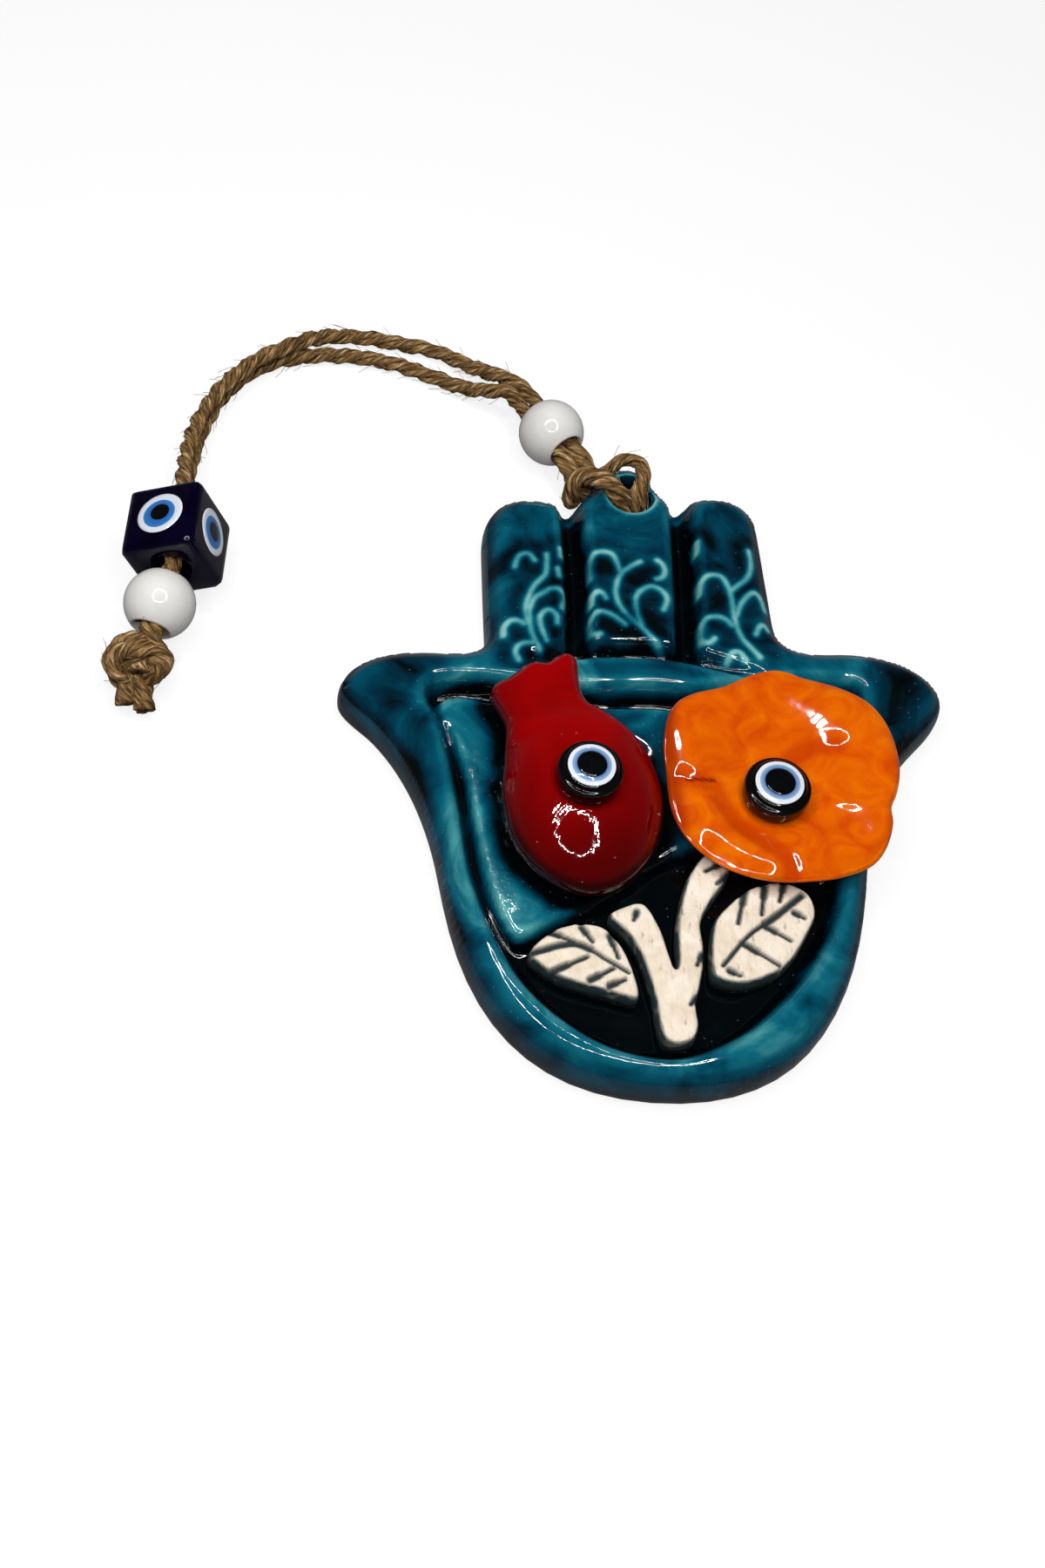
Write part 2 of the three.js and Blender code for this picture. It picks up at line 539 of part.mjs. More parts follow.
function flowerDish() {
  const corners = FLOWER_LOBES.map(([angle, share]) => {
    const turn = THREE.MathUtils.degToRad(angle);
    return [FLOWER_RADIUS * share * Math.cos(turn), FLOWER_RADIUS * share * Math.sin(turn)];
  });
  const edge = smoothOutline(corners, FLOWER_STEPS);
  const lipMiddle = (FLOWER_LIP_UNDERSIDE + FLOWER_LIP_HEIGHT) / 2;
  const rows = [
    [0.5, 0], [0.62, FLOWER_FOOT_ROUND], [0.94, FLOWER_LIP_UNDERSIDE], [1, lipMiddle],
    [0.96, FLOWER_LIP_HEIGHT - FLOWER_LIP_ROUND], [0.9, FLOWER_LIP_HEIGHT], [0.72, FLOWER_VALLEY_HEIGHT],
    [0.52, FLOWER_RIDGE_HEIGHT], [0.4, FLOWER_SEAT_HEIGHT],
  ]; // [share of the edge's radius, height], from the base out, over the lip and in to the seat
  const count = edge.length;
  const vertices = rows.flatMap(([share, z]) => edge.map(({ x, y }) => [x * share, y * share, z]));
  const triangles = [];
  for (let row = 0; row < rows.length - 1; row += 1) {
    for (let i = 0; i < count; i += 1) {
      const a = row * count + i;
      const b = row * count + (i + 1) % count;
      triangles.push([a, b, b + count], [a, b + count, a + count]);
    }
  }
  const base = vertices.push([0, 0, 0]) - 1;
  const seat = vertices.push([0, 0, FLOWER_SEAT_HEIGHT]) - 1;
  const lastRow = (rows.length - 1) * count;
  for (let i = 0; i < count; i += 1) {
    const next = (i + 1) % count;
    triangles.push([base, next, i], [seat, lastRow + i, lastRow + next]);
  }
  return meshFrom(vertices, triangles);
}
addPiece('flower', flowerDish(), ORANGE_GLAZE).position.set(...FLOWER_CENTRE, flowerBase);

const flowerGlue = disc(FLOWER_GLUE_RADIUS, PANEL_HEIGHT + SEAT_GAP, flowerBase - SEAT_GAP, EYE_STEPS);
addPiece('flower_glue', flowerGlue, GLUE).position.set(...FLOWER_CENTRE, 0);

// Glass eyes on the ornaments

function addEye(name, centre, seatZ, diameter) {
  const eye = new THREE.Group();
  eye.position.set(...centre, seatZ);
  part.add(eye);
  const radius = diameter / 2;
  const white = EYE_WHITE_DIAMETER / 2;
  const blue = EYE_BLUE_DIAMETER / 2;
  const pupil = EYE_PUPIL_DIAMETER / 2;
  const glueTop = SEAT_GAP + EYE_GLUE_THICKNESS;
  const base = glueTop + SEAT_GAP;
  const top = base + EYE_HEIGHT;
  const well = top - EYE_WELL_DEPTH;
  const floor = well + RING_GAP;
  const rimOfWell = white + RING_GAP;
  addPiece(`${name}_glue`, disc(EYE_GLUE_RADIUS, SEAT_GAP, glueTop, EYE_STEPS), GLUE, eye);
  addPiece(name, turned([
    [0, base], [radius - EYE_SHOULDER, base], [radius, base + EYE_SHOULDER], [radius, top - 2 * EYE_SHOULDER],
    [radius - EYE_SHOULDER / 3, top - EYE_SHOULDER], [Math.min(rimOfWell + 0.2, radius - 0.1), top],
    [rimOfWell, top], [rimOfWell, well], [0, well],
  ], EYE_STEPS), BLACK_GLASS, eye);
  addPiece(`${name}_white`, ring(white, blue + RING_GAP, floor, top + 0.1, EYE_STEPS), WHITE_GLASS, eye);
  addPiece(`${name}_blue`, ring(blue, pupil + RING_GAP, floor, top + 0.2, EYE_STEPS), BLUE_GLASS, eye);
  addPiece(`${name}_pupil`, disc(pupil, floor, top + 0.3, EYE_STEPS), BLACK_GLASS, eye);
}
addEye('pomegranate_eye', POM_CENTRE, pomSeat, POM_EYE_DIAMETER);
addEye('flower_eye', FLOWER_CENTRE, flowerSeat, FLOWER_EYE_DIAMETER);

// Cord and beads, which hang together from the hole

const hanging = new THREE.Group();
hanging.position.set(hole[0] - CORD_DATUM[0], hole[1] - CORD_DATUM[1], 0);
part.add(hanging);

// Round beads

function addBead(name, centre, direction) {
  const radius = BEAD_DIAMETER / 2;
  const bore = BEAD_BORE / 2;
  const start = Math.acos((bore + BEAD_BORE_ROUND) / radius);
  const steps = 10;
  const arc = Array.from({ length: steps + 1 }, (_, i) => {
    const angle = -start + (i / steps) * 2 * start;
    return [radius * Math.cos(angle), radius * Math.sin(angle)];
  });
  const end = arc[steps][1] - BEAD_BORE_ROUND / 2;
  const profile = [[bore, -end], ...arc, [bore, end], [bore, -end]];
  const bead = addPiece(name, turned(profile, BEAD_STEPS), PORCELAIN, hanging);
  bead.position.copy(centre);
  bead.quaternion.setFromUnitVectors(new THREE.Vector3(0, 0, 1), direction);
}

const topHeading = THREE.MathUtils.degToRad(TOP_BEAD_HEADING);
const topAxis = new THREE.Vector3(Math.cos(topHeading), Math.sin(topHeading), 0);
const topCentre = point([...TOP_BEAD, BEAD_DIAMETER / 2 + FLOOR_GAP]);
addBead('top_bead', topCentre, topAxis);

// Cube bead with an eye on each of its four sides

const cubeYaw = THREE.MathUtils.degToRad(CUBE_YAW);
const cubeRoll = THREE.MathUtils.degToRad(CUBE_ROLL);
const cubeReach = (CUBE_EDGE / 2) * (Math.cos(cubeRoll) + Math.abs(Math.sin(cubeRoll)));
const cubeCentre = point([...CUBE_CENTRE, cubeReach + FLOOR_GAP]);
const cubeAxis = new THREE.Vector3(Math.sin(cubeYaw), -Math.cos(cubeYaw), 0); // towards the knot

const cubeHeading = new THREE.Group();
cubeHeading.position.copy(cubeCentre);
cubeHeading.rotation.z = cubeYaw;
hanging.add(cubeHeading);
const cube = new THREE.Group();
cube.rotation.y = cubeRoll;
cubeHeading.add(cube);

function cubeBody() {
  const face = CUBE_EDGE / 2;
  const bore = new THREE.CylinderGeometry(CUBE_BORE / 2, CUBE_BORE / 2, CUBE_EDGE * 2, 24);
  const well = disc(CUBE_EYE_WHITE / 2 + RING_GAP, face - CUBE_EYE_DEPTH, face + 1, EYE_STEPS);
  const block = new RoundedBoxGeometry(CUBE_EDGE, CUBE_EDGE, CUBE_EDGE, 2, CUBE_ROUND);
  let body = solid(block).subtract(solid(bore));
  for (let side = 0; side < 4; side += 1) {
    body = body.subtract(solid(well.clone().rotateY(side * Math.PI / 2)));
  }
  return body;
}
addPiece('cube_bead', geometryOf(cubeBody()), COBALT_GLASS, cube);

for (let side = 0; side < 4; side += 1) {
  const eye = new THREE.Group();
  eye.rotation.y = side * Math.PI / 2;
  cube.add(eye);
  const low = CUBE_EDGE / 2 - CUBE_EYE_DEPTH + RING_GAP;
  const high = CUBE_EDGE / 2 + CUBE_EYE_PROUD;
  const [white, blue, pupil] = [CUBE_EYE_WHITE / 2, CUBE_EYE_BLUE / 2, CUBE_EYE_PUPIL / 2];
  const label = `cube_eye_${side + 1}`;
  addPiece(`${label}_white`, ring(white, blue + RING_GAP, low, high, EYE_STEPS), WHITE_GLASS, eye);
  addPiece(`${label}_blue`, ring(blue, pupil + RING_GAP, low, high, EYE_STEPS), BLUE_GLASS, eye);
  addPiece(`${label}_pupil`, disc(pupil, low, high, EYE_STEPS), BLACK_GLASS, eye);
}

// Bottom bead, on the stretch of cord that slopes from the cube down to the knot

const bottomCentre = point(BOTTOM_BEAD);
const kink = cubeCentre.clone().addScaledVector(cubeAxis, CUBE_EDGE / 2 + CORD_KINK);
const bottomAxis = bottomCentre.clone().sub(kink).normalize();
addBead('bottom_bead', bottomCentre, bottomAxis);

// Cord: a hitch round the hanging hole, a bending neck and two strands to the end knot

const topSide = new THREE.Vector3(topAxis.y, -topAxis.x, 0); // across the cord in the top bead
const onTopRun = (along, across, drop = 0) => topCentre.clone()
  .addScaledVector(topAxis, along)
  .addScaledVector(topSide, across)
  .setZ(topCentre.z - drop);

const half = STRAND_SPACING / 2;
const spread = half + NECK_SPREAD;

function neck(side) {
  const end = TOP_RUN_START - CORD_GAP;
  return [
    onTopRun(NECK_START, side * spread, NECK_DROP),
    onTopRun(NECK_START + NECK_DROP, side * spread, NECK_DROP / 2),
    onTopRun(end - NECK_DROP / 2, side * half),
    onTopRun(end, side * half),
  ];
}

function hangingStrand(across, lift, route) {
  const cubeUp = new THREE.Vector3(0, 0, lift);
  const slopeUp = new THREE.Vector3(0, 0, 1).addScaledVector(bottomAxis, -bottomAxis.z);
  slopeUp.normalize().multiplyScalar(lift);
  const lead = cubeCentre.clone().addScaledVector(cubeAxis, -CUBE_EDGE / 2 - CUBE_LEAD).add(cubeUp);
  const straightEnd = onTopRun(TOP_RUN_END, across);
  const free = smoothRoute([straightEnd, ...route.map(point), lead], 34);
  const bend = kink.clone().addScaledVector(cubeUp.clone().add(slopeUp), 0.5);
  const knotFace = bottomCentre.clone().add(slopeUp);
  knotFace.addScaledVector(bottomAxis, KNOT_DISTANCE - KNOT_RADII[1] - CORD_GAP);
  return [onTopRun(TOP_RUN_START, across), ...free, bend, knotFace];
}

addPiece('neck_strand_1', tube(neck(1)), JUTE, hanging);
addPiece('neck_strand_2', tube(neck(-1)), JUTE, hanging);
addPiece('cord_strand_1', tube(hangingStrand(half, half, OUTER_STRAND_ROUTE)), JUTE, hanging);
addPiece('cord_strand_2', tube(hangingStrand(-half, -half, INNER_STRAND_ROUTE)), JUTE, hanging);

function leastSelfGap(points) {
  let least = Infinity;
  const lengths = [0];
  for (let i = 1; i < points.length; i += 1) {
    lengths.push(lengths[i - 1] + points[i].distanceTo(points[i - 1]));
  }
  for (let i = 0; i < points.length; i += 1) {
    for (let j = i + 1; j < points.length; j += 1) {
      if (lengths[j] - lengths[i] > 3 * STRAND_DIAMETER) {
        least = Math.min(least, points[i].distanceTo(points[j]) - STRAND_DIAMETER);
      }
    }
  }
  return least;
}

const hitchStart = onTopRun(NECK_START - CORD_GAP, -spread, NECK_DROP + CORD_GAP / 2);
const hitchEnd = onTopRun(NECK_START - CORD_GAP, spread, NECK_DROP + CORD_GAP / 2);
const hitchPoints = smoothRoute([hitchStart, ...HITCH_ROUTE.map(point), hitchEnd], HITCH_STEPS);
const hitchGap = leastSelfGap(hitchPoints).toFixed(2);
console.log(`hitch: least gap to itself ${hitchGap} mm, wanted ${HITCH_LEAST_GAP}`);
addPiece('cord_hitch', tube(hitchPoints), JUTE, hanging);

// End knot, two wraps drawn tight over a core, and the two cut ends

function endKnot() {
  const core = solid(new THREE.SphereGeometry(1, 18, 10).scale(...KNOT_RADII));
  const wrap = (tiltX, tiltZ) => {
    const turn = new THREE.TorusGeometry(KNOT_WRAP_RADIUS, KNOT_WRAP_THICKNESS, 8, 20);
    return solid(turn.scale(KNOT_FLATNESS, 1, 1).rotateX(tiltX).rotateZ(tiltZ));
  };
  return core.add(wrap(Math.PI / 2 + 0.35, 0.2)).add(wrap(Math.PI / 2 - 0.4, -0.25));
}
const knot = addPiece('end_knot', geometryOf(endKnot()), JUTE, hanging);
knot.position.copy(bottomCentre).addScaledVector(bottomAxis, KNOT_DISTANCE);
knot.quaternion.setFromUnitVectors(new THREE.Vector3(0, -1, 0), bottomAxis);

CUT_ENDS.forEach((route, i) => addPiece(`cut_end_${i + 1}`, tube(route.map(point)), JUTE, hanging));

export default part;
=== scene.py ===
# %% [markdown]
# # A hamsa wall hanging, dressed in Blender
# A glazed pottery hand carries a red pomegranate, an orange flower and a bare clay sprig. A doubled
# jute cord is hitched through its middle fingertip and strung with two white beads and a cube of
# glass eyes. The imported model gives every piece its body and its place; this script gives each
# piece its worked surface. Sizes are written in millimetres and turned into metres once.

# %% Load the frame
import math

import bpy
import numpy as np
from mathutils import Matrix, Vector, geometry


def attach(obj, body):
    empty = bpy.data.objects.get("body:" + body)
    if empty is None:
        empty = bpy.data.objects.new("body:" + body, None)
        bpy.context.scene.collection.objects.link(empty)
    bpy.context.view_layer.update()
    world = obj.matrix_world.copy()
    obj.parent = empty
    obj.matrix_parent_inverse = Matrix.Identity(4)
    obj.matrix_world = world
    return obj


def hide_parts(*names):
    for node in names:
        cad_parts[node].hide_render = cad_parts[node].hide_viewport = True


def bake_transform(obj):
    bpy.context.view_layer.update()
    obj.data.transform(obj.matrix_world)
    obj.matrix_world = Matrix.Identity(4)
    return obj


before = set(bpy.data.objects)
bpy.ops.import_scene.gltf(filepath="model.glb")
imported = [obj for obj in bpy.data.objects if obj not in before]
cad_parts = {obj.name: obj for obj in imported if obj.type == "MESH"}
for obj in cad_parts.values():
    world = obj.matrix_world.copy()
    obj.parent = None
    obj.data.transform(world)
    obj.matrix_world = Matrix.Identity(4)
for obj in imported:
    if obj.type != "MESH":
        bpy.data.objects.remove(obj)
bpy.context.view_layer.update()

MM = 0.001

# %% [markdown]
# ## Camera
# The hand lies on a table and is seen from above its heel, turned a little to the left and rolled.
# A camera could be aimed with a Track To constraint, but roll is easier to say as a matrix: three
# axes worked out from azimuth, elevation and roll, and a place on the line of sight.

# %% Camera
LOOK_AT = np.array([-21.35, -3.73, 0.0])
AZIMUTH = math.radians(-14.09)
ELEVATION = math.radians(58.0)
ROLL = math.radians(12.26)
DISTANCE = 304.2
LENS = 42.0
CLIP_START = 0.01


def camera_axes():
    """Right, up and backward directions of the rolled camera."""
    back = np.array([math.sin(AZIMUTH) * math.cos(ELEVATION),
                     -math.cos(AZIMUTH) * math.cos(ELEVATION),
                     math.sin(ELEVATION)])
    level = np.array([math.cos(AZIMUTH), math.sin(AZIMUTH), 0.0])
    rise = np.cross(back, level)
    right = math.cos(ROLL) * level + math.sin(ROLL) * rise
    up = -math.sin(ROLL) * level + math.cos(ROLL) * rise
    return right, up, back


right, up, back = camera_axes()
camera = bpy.data.objects.new("camera", bpy.data.cameras.new("camera"))
camera.data.lens = LENS
camera.data.clip_start = CLIP_START
place = (LOOK_AT + back * DISTANCE) * MM
camera.matrix_world = Matrix(np.column_stack([right, up, back]).tolist()).to_4x4()
camera.location = place
bpy.context.collection.objects.link(camera)
bpy.context.scene.camera = camera
bpy.context.scene.view_settings.view_transform = "Standard"
print("camera at", [round(v, 3) for v in place])

# %% [markdown]
# ## Making a piece
# Every shape below is worked out as arrays of points and faces. Blender can also build them with
# operators or bmesh, but one function that turns arrays into a mesh keeps each piece's own code
# about its shape. It also writes named attributes, which the materials read later.

# %% Mesh helper


def make_piece(name, points, faces, attributes=None, uv=None):
    """A smooth mesh object from points in millimetres, with point attributes and a UV map."""
    mesh = bpy.data.meshes.new(name)
    mesh.from_pydata((np.asarray(points) * MM).tolist(), [], [list(map(int, f)) for f in faces])
    for key, values in (attributes or {}).items():
        layer = mesh.attributes.new(key, "FLOAT", "POINT")
        layer.data.foreach_set("value", np.asarray(values, np.float32))
    if uv is not None:
        corners = np.empty(len(mesh.loops), np.int32)
        mesh.loops.foreach_get("vertex_index", corners)
        layer = mesh.uv_layers.new(name="UVMap")
        layer.data.foreach_set("uv", np.asarray(uv, np.float32)[corners].ravel())
    mesh.shade_smooth()
    piece = bpy.data.objects.new(name, mesh)
    bpy.context.collection.objects.link(piece)
    return piece


def joined(parts):
    """Several (points, faces, attributes, uv) shells put into one set of arrays."""
    points, faces, uv, attributes, start = [], [], [], {}, 0
    for shell_points, shell_faces, shell_attributes, shell_uv in parts:
        points.append(shell_points)
        faces.extend([[i + start for i in face] for face in shell_faces])
        uv.append(shell_uv)
        for key, values in shell_attributes.items():
            attributes.setdefault(key, []).append(values)
        start += len(shell_points)
    stacked = {key: np.concatenate(values) for key, values in attributes.items()}
    return np.vstack(points), faces, stacked, np.vstack(uv)


def ring_faces(rows, steps):
    """Quads between rings of points that turn the same way."""
    faces = []
    for row in range(rows - 1):
        for j in range(steps):
            k = (j + 1) % steps
            a, b = row * steps, (row + 1) * steps
            faces.append([a + j, a + k, b + k, b + j])
    return faces


def capped_faces(rows, steps):
    """Ring faces, closed by fans to two more points: a pole for the first ring and the last."""
    faces = ring_faces(rows, steps)
    last = (rows - 1) * steps
    pole = rows * steps
    for j in range(steps):
        k = (j + 1) % steps
        faces.append([pole, k, j])
        faces.append([pole + 1, last + j, last + k])
    return faces


def smooth_line(points, per=8, closed=False):
    """A Catmull-Rom curve through given points."""
    p = np.array(points, float)
    if closed:
        ends = np.vstack([p[-1:], p, p[:2]])
    else:
        ends = np.vstack([2 * p[:1] - p[1:2], p, 2 * p[-1:] - p[-2:-1]])
    t = np.linspace(0, 1, per, endpoint=False)[:, None]
    stretches = []
    for a, b, c, d in zip(ends, ends[1:], ends[2:], ends[3:]):
        bend = (2 * a - 5 * b + 4 * c - d) * t ** 2 + (3 * b - a - 3 * c + d) * t ** 3
        stretches.append(0.5 * (2 * b + (c - a) * t + bend))
    line = np.vstack(stretches)
    return line if closed else np.vstack([line, p[-1:]])


def evened(path, step):
    """The same line with points at equal distances along it, and those distances."""
    run = np.concatenate([[0], np.cumsum(np.linalg.norm(np.diff(path, axis=0), axis=1))])
    stations = np.linspace(0, run[-1], max(2, int(round(run[-1] / step)) + 1))
    return np.column_stack([np.interp(stations, run, path[:, k]) for k in range(3)]), stations


def unit(v):
    """A vector, or each row of several, brought to length 1."""
    v = np.asarray(v, float)
    return v / np.linalg.norm(v, axis=-1, keepdims=True)


def carried_frames(path):
    """Tangents, normals and binormals carried along a line without twisting."""
    tangents = unit(np.gradient(path, axis=0))
    start = np.cross(tangents[0], [0.0, 0.0, 1.0])
    if np.linalg.norm(start) < 0.1:
        start = np.cross(tangents[0], [0.0, 1.0, 0.0])
    normals = [unit(start)]
    for tangent in tangents[1:]:
        normal = normals[-1] - tangent * (normals[-1] @ tangent)
        normals.append(unit(normal))
    normals = np.array(normals)
    return tangents, normals, np.cross(tangents, normals)


# %% [markdown]
# ## Jute cord
# The cord is plied jute: three yarns laid round each other, lumpy and hairy. A round tube with a
# bump pattern looks like wire, so each yarn is its own tube, wound round the route as a helix. The
# lay leaves deep creases, which an attribute marks, so that the material can paint shade into them.
# The route repeats the imported model's route, point by point, so the cord lies where its solid
# lies.

# %% Plied rope
FULL_TURN = 2 * math.pi
STRAND_RADIUS = 1.4
LAY_LENGTH = 13.5
ROPE_STEP = 0.45
YARNS = 3
YARN_SIDES = 12
YARN_REACH = 0.5
YARN_THICKNESS = 0.56
YARN_TWIST = 1.3
LUMPS = 4
LUMP_SIZE = (0.02, 0.05)
LUMP_RATE = (0.5, 2.6)
LUMP_DRAG = 0.8
COARSE_BUNDLES = 4
COARSE_DEPTH = 0.09
FINE_BUNDLES = 7
FINE_DEPTH = 0.06
FINE_TWIST = 0.7
FIBRE_LEAN = 0.05
END_CREST = 0.4


def lumps(run, rng):
    """Uneven swelling along a yarn: slow waves of chance size and rate."""
    return sum(rng.uniform(*LUMP_SIZE) * np.sin(run * rng.uniform(*LUMP_RATE) + rng.uniform(0, 6))
               for _ in range(LUMPS))


def plied(path, radius=STRAND_RADIUS, seed=0, lay=LAY_LENGTH, taper=None):
    """Yarn tubes laid round a path: points, faces, attributes and UVs in millimetres."""
    line, run = evened(path, ROPE_STEP)
    _, normals, binormals = carried_frames(line)
    rng = np.random.default_rng(seed)
    turn = np.linspace(0, FULL_TURN, YARN_SIDES, endpoint=False)
    size = np.full(len(line), radius) if taper is None else radius * taper(run / run[-1])
    shells = []
    for yarn in range(YARNS):
        waves = lumps(run, rng)
        angle = -FULL_TURN * (run / lay + yarn / YARNS) + LUMP_DRAG * waves
        reach = YARN_REACH * size * (1 + waves)
        thick = YARN_THICKNESS * size * (1 + LUMP_DRAG * waves)
        outward = np.cos(angle)[:, None] * normals + np.sin(angle)[:, None] * binormals
        sideways = -np.sin(angle)[:, None] * normals + np.cos(angle)[:, None] * binormals
        core = line + reach[:, None] * outward
        twist = run[:, None] * YARN_TWIST + rng.uniform(0, 6)
        bundles = (1 + COARSE_DEPTH * np.sin(COARSE_BUNDLES * turn + twist)
                   + FINE_DEPTH * np.sin(FINE_BUNDLES * turn - FINE_TWIST * twist))
        rings = (core[:, None] + (thick[:, None] * bundles)[..., None]
                 * (np.cos(turn)[None, :, None] * outward[:, None]
                    + np.sin(turn)[None, :, None] * sideways[:, None]))
        points = np.vstack([rings.reshape(-1, 3), core[:1], core[-1:]])
        crest = np.tile(0.5 + 0.5 * np.cos(turn), len(line))
        along = np.repeat(run, YARN_SIDES)
        across = np.tile(turn / FULL_TURN, len(line)) + yarn + FIBRE_LEAN * along
        uv = np.column_stack([np.append(along, [0, run[-1]]), np.append(across, [yarn, yarn])])
        crests = {"crest": np.append(crest, [END_CREST, END_CREST])}
        shells.append((points, capped_faces(len(line), YARN_SIDES), crests, uv))
    return joined(shells)


def route_length(path):
    """Length of a line in millimetres."""
    return float(np.linalg.norm(np.diff(path, axis=0), axis=1).sum())


# %% Where the cord goes
TOP_BEAD = np.array([-12.1, 68.3, 6.1])
CORD_UP = np.array([-0.5, 0.8660254, 0.0])
CORD_SIDE = np.array([0.8660254, 0.5, 0.0])
CUBE_CENTRE = np.array([-79.05, 39.3, 8.873])
CUBE_AXIS = np.array([-0.0924, -0.9957, 0.0])
BOTTOM_BEAD = np.array([-81.4, 26.6, 7.6])
TAIL_AXIS = np.array([-0.2831, -0.9351, -0.2133])
STRAND_OFFSET = 1.48
JOIN = 2.5
HEAD_STATIONS = (JOIN, 6.0, 9.0, 12.0)
CUBE_LEAD = 7.9
KINK_REACH = 7.15
KNOT_REACH = 7.6
RISE = np.array([0.0, 0.0, STRAND_OFFSET])
KINK = CUBE_CENTRE + KINK_REACH * CUBE_AXIS
TAIL_RISE = STRAND_OFFSET * unit(np.cross(np.cross(TAIL_AXIS, [0, 0, 1]), TAIL_AXIS))


def strand_route(side, sweep):
    """One strand from inside the top bead, round the sweep, through the cube to the knot."""
    offset = side * STRAND_OFFSET * CORD_SIDE
    head = [TOP_BEAD + s * CORD_UP + offset for s in HEAD_STATIONS]
    lead = [CUBE_CENTRE - CUBE_LEAD * CUBE_AXIS + side * RISE, CUBE_CENTRE + side * RISE]
    bend = KINK + side * RISE
    tail = BOTTOM_BEAD + side * TAIL_RISE
    foot = [tail, tail + KNOT_REACH * TAIL_AXIS]
    return smooth_line([*head, *sweep, *lead, bend, *foot], per=10)


OUTER_SWEEP = [
    (-20.6, 83.4, 4.6), (-24.6, 86.6, 2.9), (-29, 90.2, 1.8), (-33.4, 92.7, 1.5), (-39.5, 94, 1.5),
    (-46, 95, 1.7), (-51.4, 94, 2.8), (-55.9, 91.9, 4.1), (-59.8, 89.6, 4.5), (-63.8, 87.3, 4.5),
    (-67.7, 84, 4.5), (-71.1, 80.1, 4.5), (-73.7, 76.1, 4.5), (-75.8, 71.3, 4.8),
    (-77.2, 66.1, 5.6), (-77.9, 61.1, 6.9), (-78.2, 56.2, 8.3), (-78.3, 51.8, 9.5)]
INNER_SWEEP = [
    (-22.4, 79.6, 4.6), (-25.6, 81.4, 2.9), (-29.6, 83.7, 1.8), (-33.6, 85.9, 1.5),
    (-38.6, 88, 1.5),
    (-44, 89.6, 1.5), (-50, 90.3, 1.5), (-54.9, 90.2, 1.5), (-59, 89.4, 1.5), (-63.2, 88, 1.5),
    (-67.3, 85.3, 1.5), (-70.7, 81.6, 1.5), (-73.3, 77.6, 1.5), (-75.2, 72.6, 1.6),
    (-76.6, 67.6, 2.2), (-77.3, 62.7, 3.3), (-77.8, 57.6, 4.8), (-78, 51.7, 6.5)]
HITCH_ROUTE = [
    (-7.0, 57.5, 3.9), (-5.3, 55.1, 2.7), (-3.2, 53.0, 2), (-1.2, 51.6, 2.6), (-0.4, 50.9, 4.7),
    (-0.4, 50.8, 7.2), (-1.5, 51.6, 9.3), (-3.6, 53.2, 10.1), (-6.0, 54.7, 9.9), (-8.1, 55.3, 8.8),
    (-9.2, 54.8, 6.7), (-9.4, 54.6, 4.2), (-8.7, 56.0, 2.1), (-7.2, 57.9, 1.8), (-5.2, 59.2, 2.2),
    (-3.5, 59.6, 4.2), (-1.8, 59.9, 6.4), (0.2, 60.0, 8.4), (1.9, 59.4, 9.4), (3.0, 57.9, 9.8),
    (3.2, 56.0, 9.9), (2.9, 54, 9.8), (2.4, 52.1, 8.6), (2.2, 51.4, 6.6), (2.2, 51.6, 4.4),
    (1.5, 52.7, 2.6), (0.2, 54.5, 1.9), (-2, 57, 2.3), (-4.3, 59.2, 3.7)]
NECK_OFFSET = 1.68
NECK_DROP = np.array([0.0, 0.0, -1.1])
NECK_STATIONS = (JOIN, -1.0, -4.5, -6.7)
NECK_FOOT = 9.4


def neck(side):
    """The stretch between the bead's bore and the hitch, on one side of the pair."""
    offset = side * CORD_SIDE
    bored = [TOP_BEAD + s * CORD_UP + STRAND_OFFSET * offset for s in NECK_STATIONS]
    return bored + [TOP_BEAD - NECK_FOOT * CORD_UP + NECK_OFFSET * offset + NECK_DROP]


outer_route = strand_route(1, OUTER_SWEEP)
inner_route = strand_route(-1, INNER_SWEEP)
hitch_route = smooth_line([*neck(-1), *HITCH_ROUTE, *neck(1)[::-1]])
print("cord lengths in mm:", round(route_length(outer_route)), round(route_length(inner_route)),
      "hitch", round(route_length(hitch_route)))

# %% Lay the strands
HITCH_RADIUS = 1.75
HITCH_LAY = 15.0
OVER_TIP = (0.2, 60.0, 8.4)
TIP_THINNING = 0.3
TIP_STRETCH = 0.11
hitch_line = evened(hitch_route, ROPE_STEP)[0]
tip_share = np.argmin(np.linalg.norm(hitch_line - OVER_TIP, axis=1)) / len(hitch_line)


def drawn_thin(share):
    """The hitch is pulled thin where it bends over the fingertip."""
    return 1 - TIP_THINNING * np.exp(-((share - tip_share) / TIP_STRETCH) ** 2)


outer_strand = make_piece("cord_strand_outer", *plied(outer_route, seed=3))
inner_strand = make_piece("cord_strand_inner", *plied(inner_route, seed=8))
hitch_shell = plied(hitch_route, HITCH_RADIUS, seed=21, lay=HITCH_LAY, taper=drawn_thin)
hitch = make_piece("cord_hitch_loop", *hitch_shell)
print("strand faces:", len(outer_strand.data.polygons), len(inner_strand.data.polygons))

# %% [markdown]
# ## End knot and cut ends
# Below the bottom bead both strands are tied in one overhand knot, and cut short. The knot is made
# as it is tied: the pair goes down behind, up the right side, over the front to the left, round
# the back and out through the middle. The cut ends fan out into loose yarn.

